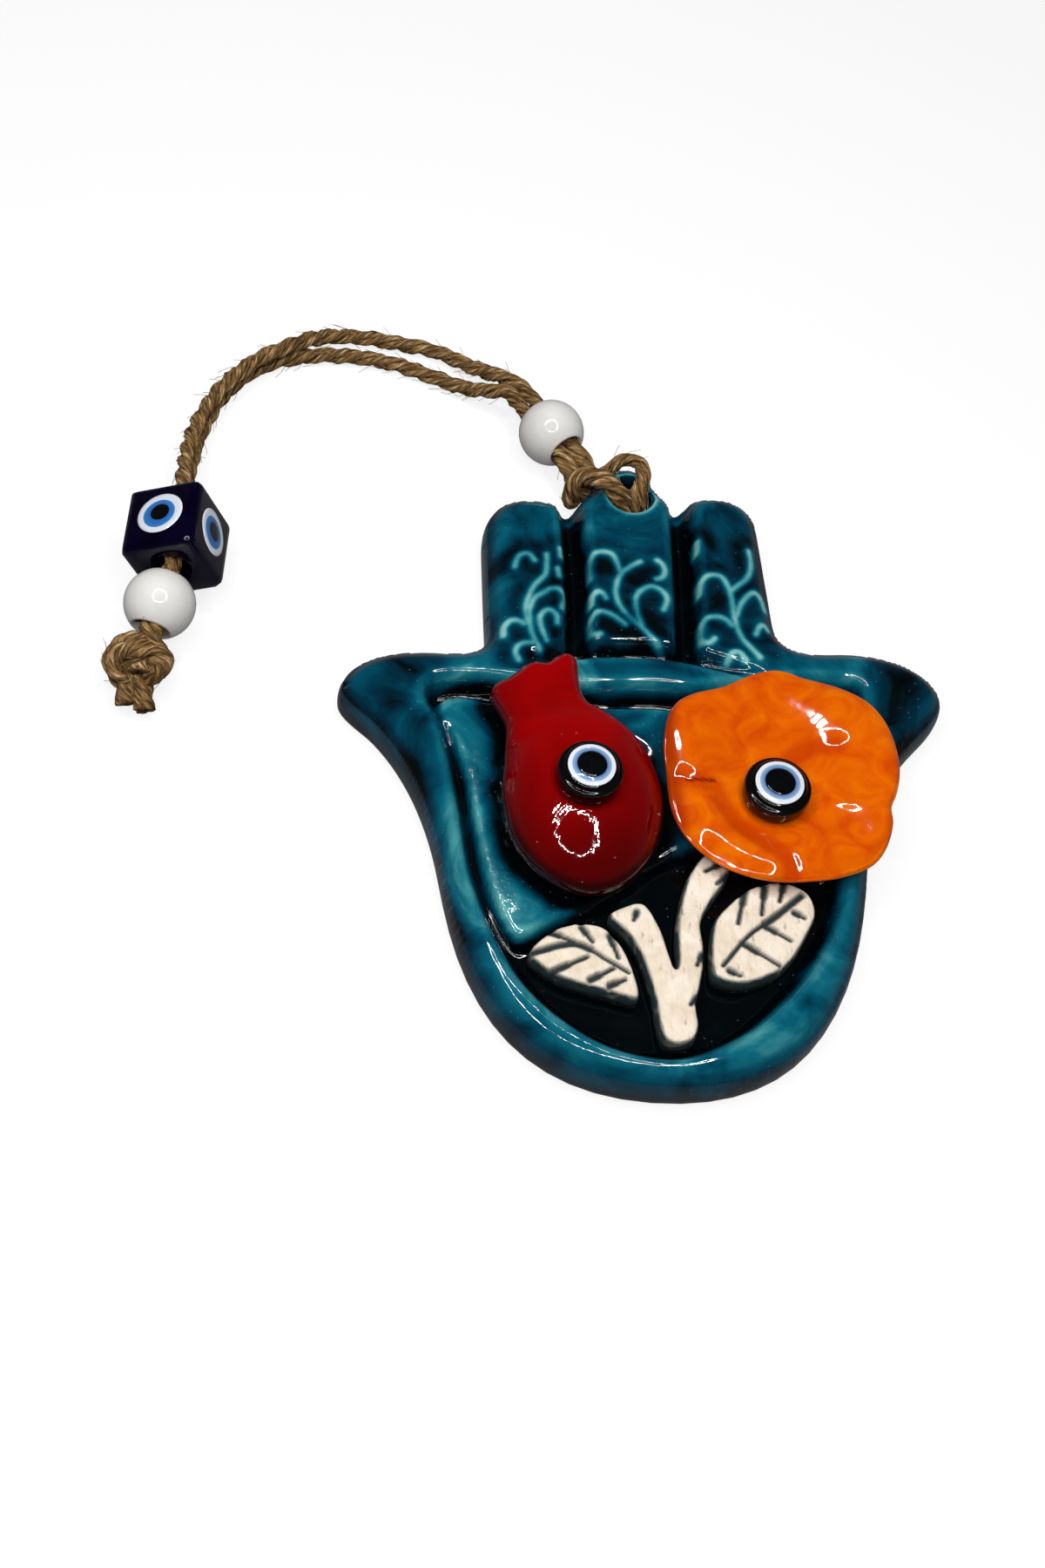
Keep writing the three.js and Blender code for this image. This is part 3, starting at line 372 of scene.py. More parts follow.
# %% Knot
KNOT_CENTRE = np.array([-84.5, 16.4, 5.3])
KNOT_ROUTE = [
    (1.6, 6.2, 1.9), (1.9, 3.4, 0.8), (3.0, 0.6, -0.8), (1.6, -0.8, -1.8), (-0.8, -1.2, -2.1),
    (-3.1, -1.9, -1.5), (-4.1, -0.8, 0.3), (-3.1, 0.8, 2.0), (-0.4, 1.4, 2.7), (2.4, 1.3, 1.9),
    (3.8, -0.3, 0.2), (2.8, -1.8, -1.0), (0.8, -0.9, -0.6), (-0.6, -1.6, 0.3), (-0.8, -3.2, 0.3)]
PAIR_OFFSET = 1.4
KNOT_RADIUS = 1.65
KNOT_LAY = 12.0


def knot_pair():
    """The two strands of the knot, side by side along one tied line."""
    middle = smooth_line(np.array(KNOT_ROUTE) + KNOT_CENTRE)
    tangents, _, _ = carried_frames(middle)
    across = unit(np.cross(tangents, middle - KNOT_CENTRE))
    return [middle + side * PAIR_OFFSET * across for side in (1, -1)]


knot_shells = [plied(line, KNOT_RADIUS, seed=31 + k, lay=KNOT_LAY)
               for k, line in enumerate(knot_pair())]
knot = make_piece("end_knot_tied", *joined(knot_shells))

CUT_ENDS = {
    "left": [(-85.4, 15.2, 5.2), (-86.2, 13.8, 4.6), (-86.7, 12.5, 3.6), (-86.6, 11.2, 2.7),
             (-86.4, 10.0, 2.1)],
    "right": [(-84.4, 15.2, 5.4), (-84.0, 13.4, 4.6), (-83.8, 12.0, 3.4), (-83.7, 10.4, 2.4),
              (-83.6, 8.9, 1.9)]}
END_RADIUS = 1.6
END_LAY = 16.0
FRAYING = 0.18


def frayed(share):
    """A cut end swells as its yarns come loose."""
    return 1.0 + FRAYING * share ** 3


cut_ends = {}
for count, (side, points) in enumerate(CUT_ENDS.items()):
    shell = plied(smooth_line(points), END_RADIUS, seed=41 + count, lay=END_LAY, taper=frayed)
    cut_ends[side] = make_piece(f"cut_end_{side}", *shell)
print("knot faces:", len(knot.data.polygons))

# %% [markdown]
# ## Slabs with a worked top
# The hand, the sprig, the leaves and the pomegranate are all slabs: an outline, a rounded edge, a
# flat back and a top that is pressed into relief. A sculpted mesh would do, but the relief follows
# rules that distances can say: so far inside the outline the rim rises, so near a scroll it swells.
# The top is a fine grid cut off near the outline, and rings carry its border over the edge.

# %% Distances


def nearest_on(lines, points, closed=True):
    """Distance from points to the nearest of some lines, and the nearest place itself."""
    starts, ends = [], []
    for line in lines:
        line = np.asarray(line, float)
        starts.append(line if closed else line[:-1])
        ends.append(np.roll(line, -1, axis=0) if closed else line[1:])
    ax, ay = np.vstack(starts).T.astype(np.float32)
    bx, by = np.vstack(ends).T.astype(np.float32)
    dx, dy = bx - ax, by - ay
    length = np.maximum(dx * dx + dy * dy, 1e-9)
    places = []
    for part in np.array_split(points.astype(np.float32), max(1, len(points) // 2000)):
        gx = part[:, :1] - ax
        gy = part[:, 1:] - ay
        t = np.clip((gx * dx + gy * dy) / length, 0, 1)
        gx -= t * dx
        gy -= t * dy
        rows = np.arange(len(part))
        best = (gx * gx + gy * gy).argmin(1)
        places.append(part - np.column_stack([gx[rows, best], gy[rows, best]]))
    places = np.vstack(places).astype(float)
    return np.linalg.norm(points - places, axis=1), places


def inside(loops, points):
    """Even-odd test of points against closed loops."""
    x, y = points.T
    odd = np.zeros(len(points), bool)
    for loop in loops:
        for (x0, y0), (x1, y1) in zip(loop, np.roll(loop, -1, axis=0)):
            if y0 == y1:
                continue
            crosses = (y0 > y) != (y1 > y)
            odd ^= crosses & (x < x0 + (y - y0) * (x1 - x0) / (y1 - y0))
    return odd


def depth_inside(loops, points):
    """Signed distance, positive inside."""
    distance, _ = nearest_on(loops, points)
    return np.where(inside(loops, points), distance, -distance)


def eased(t):
    """A soft step from 0 to 1."""
    t = np.clip(t, 0, 1)
    return t ** 3 * (10 - 15 * t + 6 * t ** 2)


def rounded(depth, width):
    """Height share of a quarter-round edge at some depth inside it."""
    return np.sqrt(np.clip(1 - (1 - np.clip(depth / width, 0, 1)) ** 2, 0, 1))


# %% Slab builder


def kept_cells(keep):
    """Grid cells with four kept corners, without corners that only touch at a point."""
    cells = keep[:-1, :-1] & keep[1:, :-1] & keep[:-1, 1:] & keep[1:, 1:]
    for _ in range(6):
        wide = np.pad(cells, 1)
        sw, se, nw, ne = wide[:-1, :-1], wide[:-1, 1:], wide[1:, :-1], wide[1:, 1:]
        pinch = (sw & ne & ~se & ~nw) | (se & nw & ~sw & ~ne)
        if not pinch.any():
            break
        drop = pinch[:-1, :-1] | pinch[1:, :-1] | pinch[:-1, 1:] | pinch[1:, 1:]
        cells = cells & ~drop
    return cells


def border_loops(faces):
    """Closed runs of border points, in the direction of the faces they edge."""
    edges = {(a, b) for f in faces for a, b in zip(f, f[1:] + f[:1])}
    following = {a: b for a, b in edges if (b, a) not in edges}
    loops = []
    while following:
        start, here = following.popitem()
        loop = [start]
        while here != start:
            loop.append(here)
            here = following.pop(here)
        loops.append(loop)
    return loops


def settled(z, used):
    """Heights on the grid eased towards their neighbours, as wet clay and glaze ease them."""
    height = np.zeros(used.shape)
    height[used] = z
    weight = used.astype(float)
    for axis in (0, 1):
        for values in (height, weight):
            padded = np.pad(values, [(1, 1) if a == axis else (0, 0) for a in (0, 1)])
            count = values.shape[axis]
            before, after = (np.take(padded, range(k, k + count), axis=axis) for k in (0, 2))
            values[:] = 0.25 * before + 0.5 * values + 0.25 * after
    return height[used] / weight[used]


THIN_EDGE = 0.3
ROUND_STEPS = np.array([0.7, 0.45, 0.25, 0.1, 0.0])


def flat_back(height):
    """A back that lies level at some height."""
    return lambda plan: np.full(len(plan), float(height))


def slab(loops, spacing, seam, top, edges, floor, floor_step=3.0, settle=0):
    """A closed slab. edges holds, per loop, a round's width and foot, and wall rings.
    A ring is an inset and a share of the wall's height between the back and the round's foot."""
    low = np.min(loops[0], axis=0)
    high = np.max(loops[0], axis=0)
    xs = np.arange(low[0], high[0] + spacing, spacing)
    ys = np.arange(low[1], high[1] + spacing, spacing)
    grid = np.stack(np.meshgrid(xs, ys), -1)
    flat = grid.reshape(-1, 2)
    keep = (depth_inside(loops, flat) > seam - 0.5 * spacing).reshape(grid.shape[:2])
    cells = kept_cells(keep)
    used = np.zeros(grid.shape[:2], bool)
    for row, column in ((0, 0), (0, 1), (1, 0), (1, 1)):
        used[row:row + cells.shape[0], column:column + cells.shape[1]] |= cells
    number = np.cumsum(used.ravel()).reshape(used.shape) - 1
    corners = [number[:-1, :-1], number[:-1, 1:], number[1:, 1:], number[1:, :-1]]
    faces = np.stack([c[cells] for c in corners], -1).tolist()
    plan = grid[used].copy()
    borders = border_loops(faces)
    rim = np.array([i for loop in borders for i in loop])
    _, foot = nearest_on(loops, plan[rim])
    inward = unit(plan[rim] - foot)
    plan[rim] = foot + seam * inward
    z = top(plan)
    for _ in range(settle):
        z = settled(z, used)
    points = [np.column_stack([plan, z])]
    total = len(plan)
    outline_of = {i: k for k, i in enumerate(rim)}
    hem_plan, hem_loops = [], []
    for loop in borders:
        rows = np.array([outline_of[i] for i in loop])
        distance = [nearest_on([each], foot[rows[:1]])[0][0] for each in loops]
        width, round_foot, rings = edges[int(np.argmin(distance))]
        above = z[np.array(loop)]
        under = floor(foot[rows])
        wall_top = np.maximum(round_foot, under + THIN_EDGE)
        previous = loop
        insets = [(inset, None) for inset in seam * ROUND_STEPS] + rings
        for inset, level in insets:
            spot = foot[rows] + inset * inward[rows]
            if level is None:
                share = rounded(inset, width) / rounded(seam, width)
                height = wall_top + (above - wall_top) * share
            else:
                height = under + level * (wall_top - under)
            ring = list(range(total, total + len(loop)))
            total += len(loop)
            points.append(np.column_stack([spot, height]))
            for i in range(len(loop)):
                k = (i + 1) % len(loop)
                faces.append([previous[k], previous[i], ring[i], ring[k]])
            previous = ring
        hem_loops.append(previous)
        hem_plan.append(spot)
    faces += back_faces(hem_plan, hem_loops, loops, points, total, floor, floor_step)
    stacked = np.vstack(points)
    return stacked, faces, {"grid": number, "used": used, "top": len(plan)}


def back_faces(hem_plan, hem_loops, loops, points, total, floor, floor_step):
    """Triangles over the back, through extra points where the back is hollowed."""
    border = np.vstack(hem_plan)
    index = [i for loop in hem_loops for i in loop]
    edges, start = [], 0
    for loop in hem_loops:
        edges += [(start + i, start + (i + 1) % len(loop)) for i in range(len(loop))]
        start += len(loop)
    low, high = border.min(0), border.max(0)
    xs = np.arange(low[0], high[0], floor_step)
    ys = np.arange(low[1], high[1], floor_step)
    spots = np.stack(np.meshgrid(xs, ys), -1).reshape(-1, 2)
    spots = spots[depth_inside(loops, spots) > 1.2 * floor_step]
    points.append(np.column_stack([spots, floor(spots)]))
    index += list(range(total, total + len(spots)))
    every = [Vector(p) for p in np.vstack([border, spots]).tolist()]
    made = geometry.delaunay_2d_cdt(every, edges, [], 1, 1e-6)
    where = np.array([tuple(v) for v in made[0]])
    faces = []
    for face in made[2]:
        a, b, c = (where[i] for i in face)
        if not inside(loops, ((a + b + c) / 3)[None])[0]:
            continue
        turns_left = (b[0] - a[0]) * (c[1] - a[1]) - (b[1] - a[1]) * (c[0] - a[0]) > 0
        order = face[::-1] if turns_left else face
        faces.append([index[made[3][i][0]] for i in order])
    return faces


def relief(points, built, radius):
    """How far each point of the top stands above its surroundings, over some grid steps."""
    used = built["used"]
    height = np.zeros(used.shape)
    height[used] = points[:built["top"], 2]
    weight = used.astype(float)
    for axis in (0, 1):
        for _ in range(2):
            height = box_blur(height, radius, axis)
            weight = box_blur(weight, radius, axis)
    mean = height[used] / np.maximum(weight[used], 1e-9)
    rise = np.zeros(len(points))
    rise[:built["top"]] = points[:built["top"], 2] - mean
    return rise


def box_blur(values, radius, axis):
    """Mean of each run of 2 * radius + 1 neighbours along one axis."""
    pads = [(0, 0), (0, 0)]
    pads[axis] = (radius + 1, radius)
    sums = np.cumsum(np.pad(values, pads), axis=axis)
    ahead = np.take(sums, range(2 * radius + 1, sums.shape[axis]), axis=axis)
    behind = np.take(sums, range(0, sums.shape[axis] - 2 * radius - 1), axis=axis)
    return (ahead - behind) / (2 * radius + 1)


# %% [markdown]
# ## The hand
# The outline is drawn as curves, as a potter's template is: each side has its own, because the
# hand was pressed and trimmed by hand and its two sides differ by a millimetre or two. The rim
# rises round a sunken palm, a raised panel stands in the palm, and grooves part the fingers.

# %% Outline of the hand
HEEL = (-0.5, -61)
FINGERTIP = (0.9, 60.2)
RIGHT_SIDE = [
    ((20, -61), (29.6, -46), (33.9, -22)), ((35.6, -12), (40.6, -3.6), (46.6, 2.0)),
    ((50.2, 5.3), (52, 7.6), (52, 9.8)), ((52, 13.6), (47.5, 20.4), (34.4, 19.7)),
    ((29.6, 19.4), (24.6, 19.9), (24.4, 24.2)), ((24.4, 31), (24.3, 39), (24.3, 46)),
    ((24.3, 50.9), (21.2, 53.9), (16.8, 53.9)), ((14, 53.9), (11.3, 52.9), (9.9, 51.6)),
    ((8.3, 52.2), (6.7, 54.6), (5.6, 56.8)), ((4.5, 58.6), (3.3, 60.2), FINGERTIP)]
LEFT_SIDE = [
    ((-25, -61), (-34.5, -46), (-36.4, -22)), ((-37.8, -12), (-41, -2.8), (-46.4, 3.8)),
    ((-48.9, 6.4), (-52, 8.8), (-52, 11)), ((-52, 14.4), (-47.2, 19.8), (-35.4, 19.1)),
    ((-30, 18.5), (-26.5, 18.9), (-26.5, 23.2)), ((-26.4, 30), (-26.2, 37), (-26, 44)),
    ((-25.9, 49.4), (-22.2, 52.6), (-17.4, 52.6)), ((-14.4, 52.6), (-11.9, 51.8), (-10.5, 50.6)),
    ((-8.6, 51.2), (-6.5, 54.3), (-5.1, 56.8)), ((-3.9, 58.6), (-2.4, 60.2), FINGERTIP)]


def bezier_run(start, pieces, per=14):
    """Points along joined cubic curves, without the last one."""
    line, here = [], np.array(start, float)
    t = np.linspace(0, 1, per, endpoint=False)[:, None]
    for c1, c2, end in pieces:
        c1, c2, end = (np.array(v, float) for v in (c1, c2, end))
        line.append((1 - t) ** 3 * here + 3 * t * (1 - t) ** 2 * c1
                    + 3 * t ** 2 * (1 - t) * c2 + t ** 3 * end)
        here = end
    return np.vstack(line)


def softened(loop, passes=2):
    """Corners of a closed loop eased by averaging neighbours."""
    for _ in range(passes):
        loop = 0.25 * np.roll(loop, 1, axis=0) + 0.5 * loop + 0.25 * np.roll(loop, -1, axis=0)
    return loop


HOLE_STEPS = 48


def round_hole(radius):
    """A round outline about the origin."""
    turn = np.linspace(0, FULL_TURN, HOLE_STEPS, endpoint=False)
    return radius * np.column_stack([np.cos(turn), np.sin(turn)])


right_half = bezier_run(HEEL, RIGHT_SIDE)
left_half = bezier_run(HEEL, LEFT_SIDE)
hand_outline = softened(np.vstack([right_half, [FINGERTIP], left_half[:0:-1]]))
HOLE_CENTRE = np.array([1.0, 52.4])
HOLE_RADIUS = 3.9
cord_hole = HOLE_CENTRE + round_hole(HOLE_RADIUS)
print("outline points:", len(hand_outline))

# %% Relief of the hand
RIM_HEIGHT = 8.4
RIM_ROUND = 4.4
RIM_FOOT = 2.7
PALM_FLOOR = 3.6
PANEL_RISE = 3.4
PALM_POCKET = smooth_line([
    (-36.2, 10.2), (-34.2, 3.6), (-32.8, -4.7), (-31.9, -12.9), (-31.2, -20.9), (-29.6, -28.6),
    (-27.2, -35.6), (-24.4, -41.4), (-21, -45.8), (-17, -49.4), (-12.4, -52.4), (-7.2, -54.2),
    (-1.8, -54.8), (3.4, -53.4), (8.6, -50.8), (13.8, -46.8), (18.4, -42.2), (22.4, -37),
    (25.4, -31.4), (27.3, -23.6), (29, -13), (31, -4), (33.4, 4), (36, 10.4), (28, 11.4),
    (18, 10.4), (8, 9.2), (0, 9.7), (-10, 9.4), (-20, 10.2), (-29, 11.2)], per=6, closed=True)
PANEL = smooth_line([
    (-34.6, 8.4), (-32.8, 0.3), (-31.2, -8), (-30.2, -16.1), (-29.2, -24), (-27.2, -31.4),
    (-25.2, -35), (-23.4, -34.9), (-20.6, -33.2), (-16.6, -31.4), (-12, -29.4), (-7, -26.2),
    (-2, -22.2), (4, -19.6), (12, -19.8), (20, -22), (25.6, -23), (26.6, -14), (28.4, -5),
    (30.8, 3), (33.8, 8.6), (20, 8.4), (8, 6.6), (0, 7.2), (-12, 7.2), (-24, 8.4)],
    per=6, closed=True)
FINGER_GROOVES = [[(-11.2, 18.8), (-10.2, 36), (-10.2, 50), (-11.0, 56)],
                  [(7.9, 18.9), (9.2, 35), (10.0, 50), (10.6, 57)]]
BAND_VALLEY = smooth_line([(-22, 14.8), (-16, 16.8), (-10, 18), (0, 18.2), (8, 17), (15, 14.8),
                           (21, 12.6)])
GROOVE_FLOOR = 2.8
VALLEY_FLOOR = 5.0
HOLLOW_DEPTH = 5.0
HOLLOW_START = 50.4
HOLLOW_LEFT = -5.6
HOLLOW_RIGHT = 5.8
HOLLOW_WIDENS = 56
HOLLOW_WIDER_LEFT = -10.2
HOLLOW_EASE = 0.9


def hollow_back(plan):
    """The back is flat, but hollowed under the middle fingertip for the hitched cord."""
    x, y = plan.T
    left = np.where(y > HOLLOW_WIDENS, HOLLOW_WIDER_LEFT, HOLLOW_LEFT)
    side = np.minimum(x - left, HOLLOW_RIGHT - x)
    return HOLLOW_DEPTH * eased(np.minimum(side, y - HOLLOW_START) / HOLLOW_EASE + 0.5)


print("pocket and panel points:", len(PALM_POCKET), len(PANEL))


# %% [markdown]
# Pressed scrolls cover the fingers: thin raised stems that end in curls. Each is a short smooth
# line, and the clay swells wherever a point lies near one of them.

# %% Scrolls on the fingers
SCROLLS = {
    "middle": [
        [(3.7, 17.9), (1.7, 20.4), (0.1, 22.4), (-2.1, 25), (-3.4, 27.2), (-3.9, 29.6),
         (-3.4, 32.3), (-2.3, 34.4), (-0.7, 35.7), (1.1, 36.8)],
        [(-2.7, 34.7), (-3.1, 36.6), (-3.8, 38.4), (-5.3, 38.9), (-6.8, 38.5), (-7.9, 36.9),
         (-8.2, 34.8), (-8.2, 33.1)],
        [(4.2, 37.2), (5, 36.3), (5.2, 34.7), (4.6, 33.4), (3.6, 33)],
        [(0, 23), (-0.5, 25.4), (-0.6, 27.8), (-0.1, 29.7), (1.3, 31), (2.8, 31.4), (4.3, 30.5),
         (5, 28.7), (4.2, 26.4)],
        [(-8.4, 27.4), (-8.1, 29.3), (-6.9, 30.1), (-6.1, 29.7), (-5.7, 28.8)],
        [(-2.8, 23.3), (-4.2, 24.6), (-5.7, 25.6), (-7.2, 25.8), (-8.4, 25), (-9.2, 23.4),
         (-9, 21.7), (-8, 21), (-7.3, 21.2)]],
    "left": [
        [(-18, 17.8), (-19, 20.8), (-19.4, 23.2), (-19.2, 25.9), (-18.2, 28.4), (-16.6, 29.7),
         (-15, 30.7), (-13.6, 30.5), (-12.7, 29), (-13.5, 26.6)],
        [(-19.8, 23.7), (-19.8, 26.5), (-19, 29.1), (-18, 31.2), (-16.7, 32.7), (-15.8, 34),
         (-15.5, 36.3), (-15.4, 38.1)],
        [(-16.8, 19.6), (-17.4, 22.3), (-17.5, 24.5), (-16.5, 25.8), (-15.5, 26), (-14.6, 24.9),
         (-14.6, 23.4)],
        [(-20.2, 23), (-21.5, 23.7), (-22.8, 23.5), (-23.8, 22.4), (-24, 20.7)],
        [(-19.1, 19), (-20.4, 19), (-21.6, 18.4), (-22.2, 17), (-21.7, 15.7)],
        [(-21.2, 35.2), (-20.6, 37), (-19.7, 38), (-18.4, 38), (-17.6, 36.7)],
        [(-12.8, 39.5), (-12.8, 37.9)], [(-13.7, 35), (-13.5, 33.5)]],
    "right": [
        [(10.9, 30.3), (11.3, 32.4), (12.6, 33.8), (14, 34.2), (15.4, 33.6), (16.2, 31.6),
         (16.5, 29.3), (16.5, 26.7), (16.6, 23.9), (17.2, 21.1), (18.5, 18.9), (20, 16.8)],
        [(16.7, 30.8), (18.1, 32), (19.7, 33.4), (20.7, 35.3), (21.1, 37.6), (21, 39.8)],
        [(17, 25.5), (18.1, 28), (19.4, 29.7), (20.7, 30.5), (21.9, 29.6), (22.5, 27.3)],
        [(15.9, 23.3), (14.6, 24.7), (12.9, 25.1), (11.3, 24.5), (10.4, 23), (10, 21.1),
         (10.6, 19.7), (11.7, 19.7), (12.5, 20.5)],
        [(19.9, 21.5), (20.7, 23), (21.7, 23.6), (22.3, 22.7)],
        [(14.3, 16.1), (15.4, 17.6), (16.6, 17.6), (17.3, 16.2)], [(11.8, 41.9), (11.4, 39.5)]]}
SCROLL_HALF_WIDTH = 1.2
SCROLL_RISE = 0.24
SCROLLS_BEGIN = 14
FAR_AWAY = 99.0
scroll_lines = [smooth_line(line, per=5) for finger in SCROLLS.values() for line in finger]


def along_lines(lines, plan):
    """Distance to the nearest of some open lines."""
    return nearest_on(lines, plan, closed=False)[0]


def from_scrolls(plan):
    """Distance to the nearest scroll, on the fingers only."""
    near = plan[:, 1] > SCROLLS_BEGIN
    apart = np.full(len(plan), FAR_AWAY)
    apart[near] = along_lines(scroll_lines, plan[near])
    return apart


print("scrolls:", len(scroll_lines))


# %% Top of the hand
POMEGRANATE_OUTLINE = smooth_line([
    (-13.3, -29.7), (-6.8, -27.3), (-2, -21), (-0.3, -12.4), (-2, -4), (-5.6, 0.6), (-8.8, 3.6),
    (-10.6, 5), (-11.7, 7), (-12.1, 10), (-12.1, 13.3), (-13, 14.8), (-14.4, 15.2), (-16.2, 14.4),
    (-17.6, 13.3), (-19.8, 13.4), (-21.4, 12.6), (-22.9, 11.3), (-24.5, 10), (-26.2, 9.1),
    (-27.1, 7.8), (-26.9, 6), (-25.7, 3.4), (-25, 0.4), (-25.6, -6), (-26.3, -12.4), (-24.8, -20.6),
    (-20, -27)], per=6, closed=True)
POCKET_SLOPE = (-2.6, 3.6)
PANEL_SLOPE = (-1.7, 2.2)
GROOVE_SLOPE = (0.5, 2.3)
VALLEY_SLOPE = (0.2, 1.7)
VALLEY_MIDDLE = -0.5
VALLEY_HALF_LENGTH = 22
FRUIT_DIP = 0.9
FRUIT_DIP_WIDTH = 2.4
HAND_RIPPLE = 0.07


def slope(distance, start, width):
    """A soft step from 0 to 1, from some distance on."""
    return eased((distance - start) / width)


def from_fruit(plan):
    """Distance to the pomegranate's outline."""
    return nearest_on([POMEGRANATE_OUTLINE], plan)[0]


def hand_top(plan):
    """Height of the pressed face of the hand."""
    x, y = plan.T
    rim = rounded(depth_inside([hand_outline], plan), RIM_ROUND)
    z = RIM_FOOT + (RIM_HEIGHT - RIM_FOOT) * rim
    z = z + (PALM_FLOOR - z) * slope(depth_inside([PALM_POCKET], plan), *POCKET_SLOPE)
    beside = np.exp(-np.clip(from_fruit(plan) / FRUIT_DIP_WIDTH, 0, 9) ** 2)
    panel = slope(depth_inside([PANEL], plan), *PANEL_SLOPE)
    z = z + panel * (PANEL_RISE - FRUIT_DIP * beside)
    for groove in FINGER_GROOVES:
        apart = along_lines([smooth_line(groove)], plan)
        z = GROOVE_FLOOR + (z - GROOVE_FLOOR) * slope(apart, *GROOVE_SLOPE)
    apart = along_lines([BAND_VALLEY], plan)
    fade = np.clip(1 - ((x - VALLEY_MIDDLE) / VALLEY_HALF_LENGTH) ** 2, 0, 1)
    z = z - (RIM_HEIGHT - VALLEY_FLOOR) * fade * (1 - slope(apart, *VALLEY_SLOPE))
    z = z + SCROLL_RISE * eased(1 - from_scrolls(plan) / SCROLL_HALF_WIDTH)
    ripple = np.sin(0.31 * x + 0.4 * y) * np.sin(0.23 * x - 0.37 * y + 1.0)
    return z + HAND_RIPPLE * ripple


HAND_SPACING = 0.4
HAND_SEAM = 0.7
HAND_WALL = [(0.0, 0.6), (0.05, 0.35), (0.2, 0.15), (0.4, 0.05), (0.8, 0.0)]
HAND_EDGE = (RIM_ROUND, RIM_FOOT, HAND_WALL)
HOLE_EDGE = (1.3, 6.6, [(0.0, 0.5), (0.0, 0.0)])
hand_points, hand_faces, hand_grid = slab(
    [hand_outline, cord_hole], HAND_SPACING, HAND_SEAM, hand_top, [HAND_EDGE, HOLE_EDGE],
    hollow_back, floor_step=1.6, settle=2)
print("hand points:", len(hand_points))

# %% [markdown]
# Glaze runs off what stands proud and pools in what lies low. Painted weights would do, but the
# places have names: each gets a mask worked out from distances, and a share that thickens the
# glaze there or thins it. Some shares paint light and shade into the colour: painted shade beside
# the fruit, along the outer edge and down the wall, and painted highlights on the pocket crest and
# the hole's lip.

# %% Glaze on the hand
GLAZE_MEAN = 0.5
# beside fruit, outer edge and the wall carry painted shade; pocket crest and hole lip carry painted
# highlights
GLAZE_AND_PAINTED_LIGHT_SHARES = {
    "low ground": 0.5, "fingers": 0.07, "thumbs": 0.18, "band": -0.08, "panel strip": -0.26,
    "beside fruit pooled and shaded": 0.42, "pocket crest thin and highlighted": -0.05, "ridges": -0.12, "beside scrolls": 0.2,
    "scrolls": -0.5, "outer edge shade": 0.16, "hole lip highlight": -0.5}
RIDGE_STEPS = 2
RIDGE_HEIGHT = 0.2
WALL_GLAZE = 0.6
WALL_SHADE_AND_POOLING = 0.36
WALL_HEIGHT = 4.4


def bell(distance, middle, width):
    """1 at some distance, fading on both sides of it."""
    return np.exp(-((distance - middle) / width) ** 2)


def glaze_and_painted_light_masks(points, built):
    """The named places on the hand, each 1 where it counts in full."""
    plan = points[:, :2]
    x, y = plan.T
    from_edge = depth_inside([hand_outline], plan)
    low = np.clip((RIM_HEIGHT - 1.1 - points[:, 2]) / 3.2, 0, 1) * slope(from_edge, 1.4, 2)
    band = slope(y, 9, 2) * slope(-y, -17.5, 2) * slope(-np.abs(x), -30, 8)
    from_scroll = from_scrolls(plan)
    return {
        "low ground": low,
        "fingers": slope(y, 15, 4) * slope(-np.abs(x), -27, 2),
        "thumbs": slope(np.abs(x), 34, 9),
        "band": band,
        "panel strip": slope(depth_inside([PANEL], plan), -1, 1) * slope(-x, 17, 8),
        # painted shade, with pooled glaze: dark beside the overhanging fruit
        "beside fruit pooled and shaded": bell(from_fruit(plan), 0, 2.6) * (1 - band),
        # thinner glaze and a painted highlight along the pocket's crest
        "pocket crest thin and highlighted": bell(depth_inside([PALM_POCKET], plan), -2.4, 1.3),
        "ridges": np.clip(relief(points, built, RIDGE_STEPS) / RIDGE_HEIGHT, 0, 1),
        "beside scrolls": bell(from_scroll, 2.2, 1.6) * (1 - low),
        "scrolls": eased(1 - from_scroll / SCROLL_HALF_WIDTH) * (1 - low),
        # painted shade: darker along the rim's outer edge
        "outer edge shade": eased(1 - from_edge / 2.2),
        # painted highlight: paler on the lip of the hanging hole
        "hole lip highlight": bell(nearest_on([cord_hole], plan)[0], 0.5, 0.7)}


def glaze_thickness_and_painted_light(points, built):
    """How thick the glaze lies, with painted light added: 0 is thin, 1 is thick. On the wall it
    darkens towards the foot, by painted shade and pooling.
    """
    masks = glaze_and_painted_light_masks(points, built)
    thick = GLAZE_MEAN + sum(GLAZE_AND_PAINTED_LIGHT_SHARES[place] * mask for place, mask in masks.items())
    wall = np.arange(len(points)) >= built["top"]
    # painted shade, with pooling: the wall darkens towards its foot
    thick[wall] = WALL_GLAZE + WALL_SHADE_AND_POOLING * np.clip(1 - points[wall, 2] / WALL_HEIGHT, 0, 1)
    return np.clip(thick, 0, 1)


def glaze_pitting(points):
    """Where the glaze boiled and set uneven: on the panel's left strip."""
    x, y = points[:, :2].T
    strip = slope(-x, 22, 4) * slope(y, -33, 5) * slope(-y, -3, 4)
    on_panel = slope(depth_inside([PANEL], points[:, :2]), -0.5, 1)
    return strip * on_panel * (points[:, 2] > PALM_FLOOR)


hand = make_piece("hamsa_plaque_glazed", hand_points, hand_faces,
                  {"thickness_and_painted_light": glaze_thickness_and_painted_light(hand_points, hand_grid),
                   "pitting": glaze_pitting(hand_points)})
print("hand faces:", len(hand.data.polygons))

# %% [markdown]
# ## Sprig of bare clay
# The stem and the two leaves were left unglazed. They are slabs like the hand, with veins cut into
# the leaves and small cracks in the stem. An attribute keeps where the cuts are, because glaze that
# ran into them stays dark there.

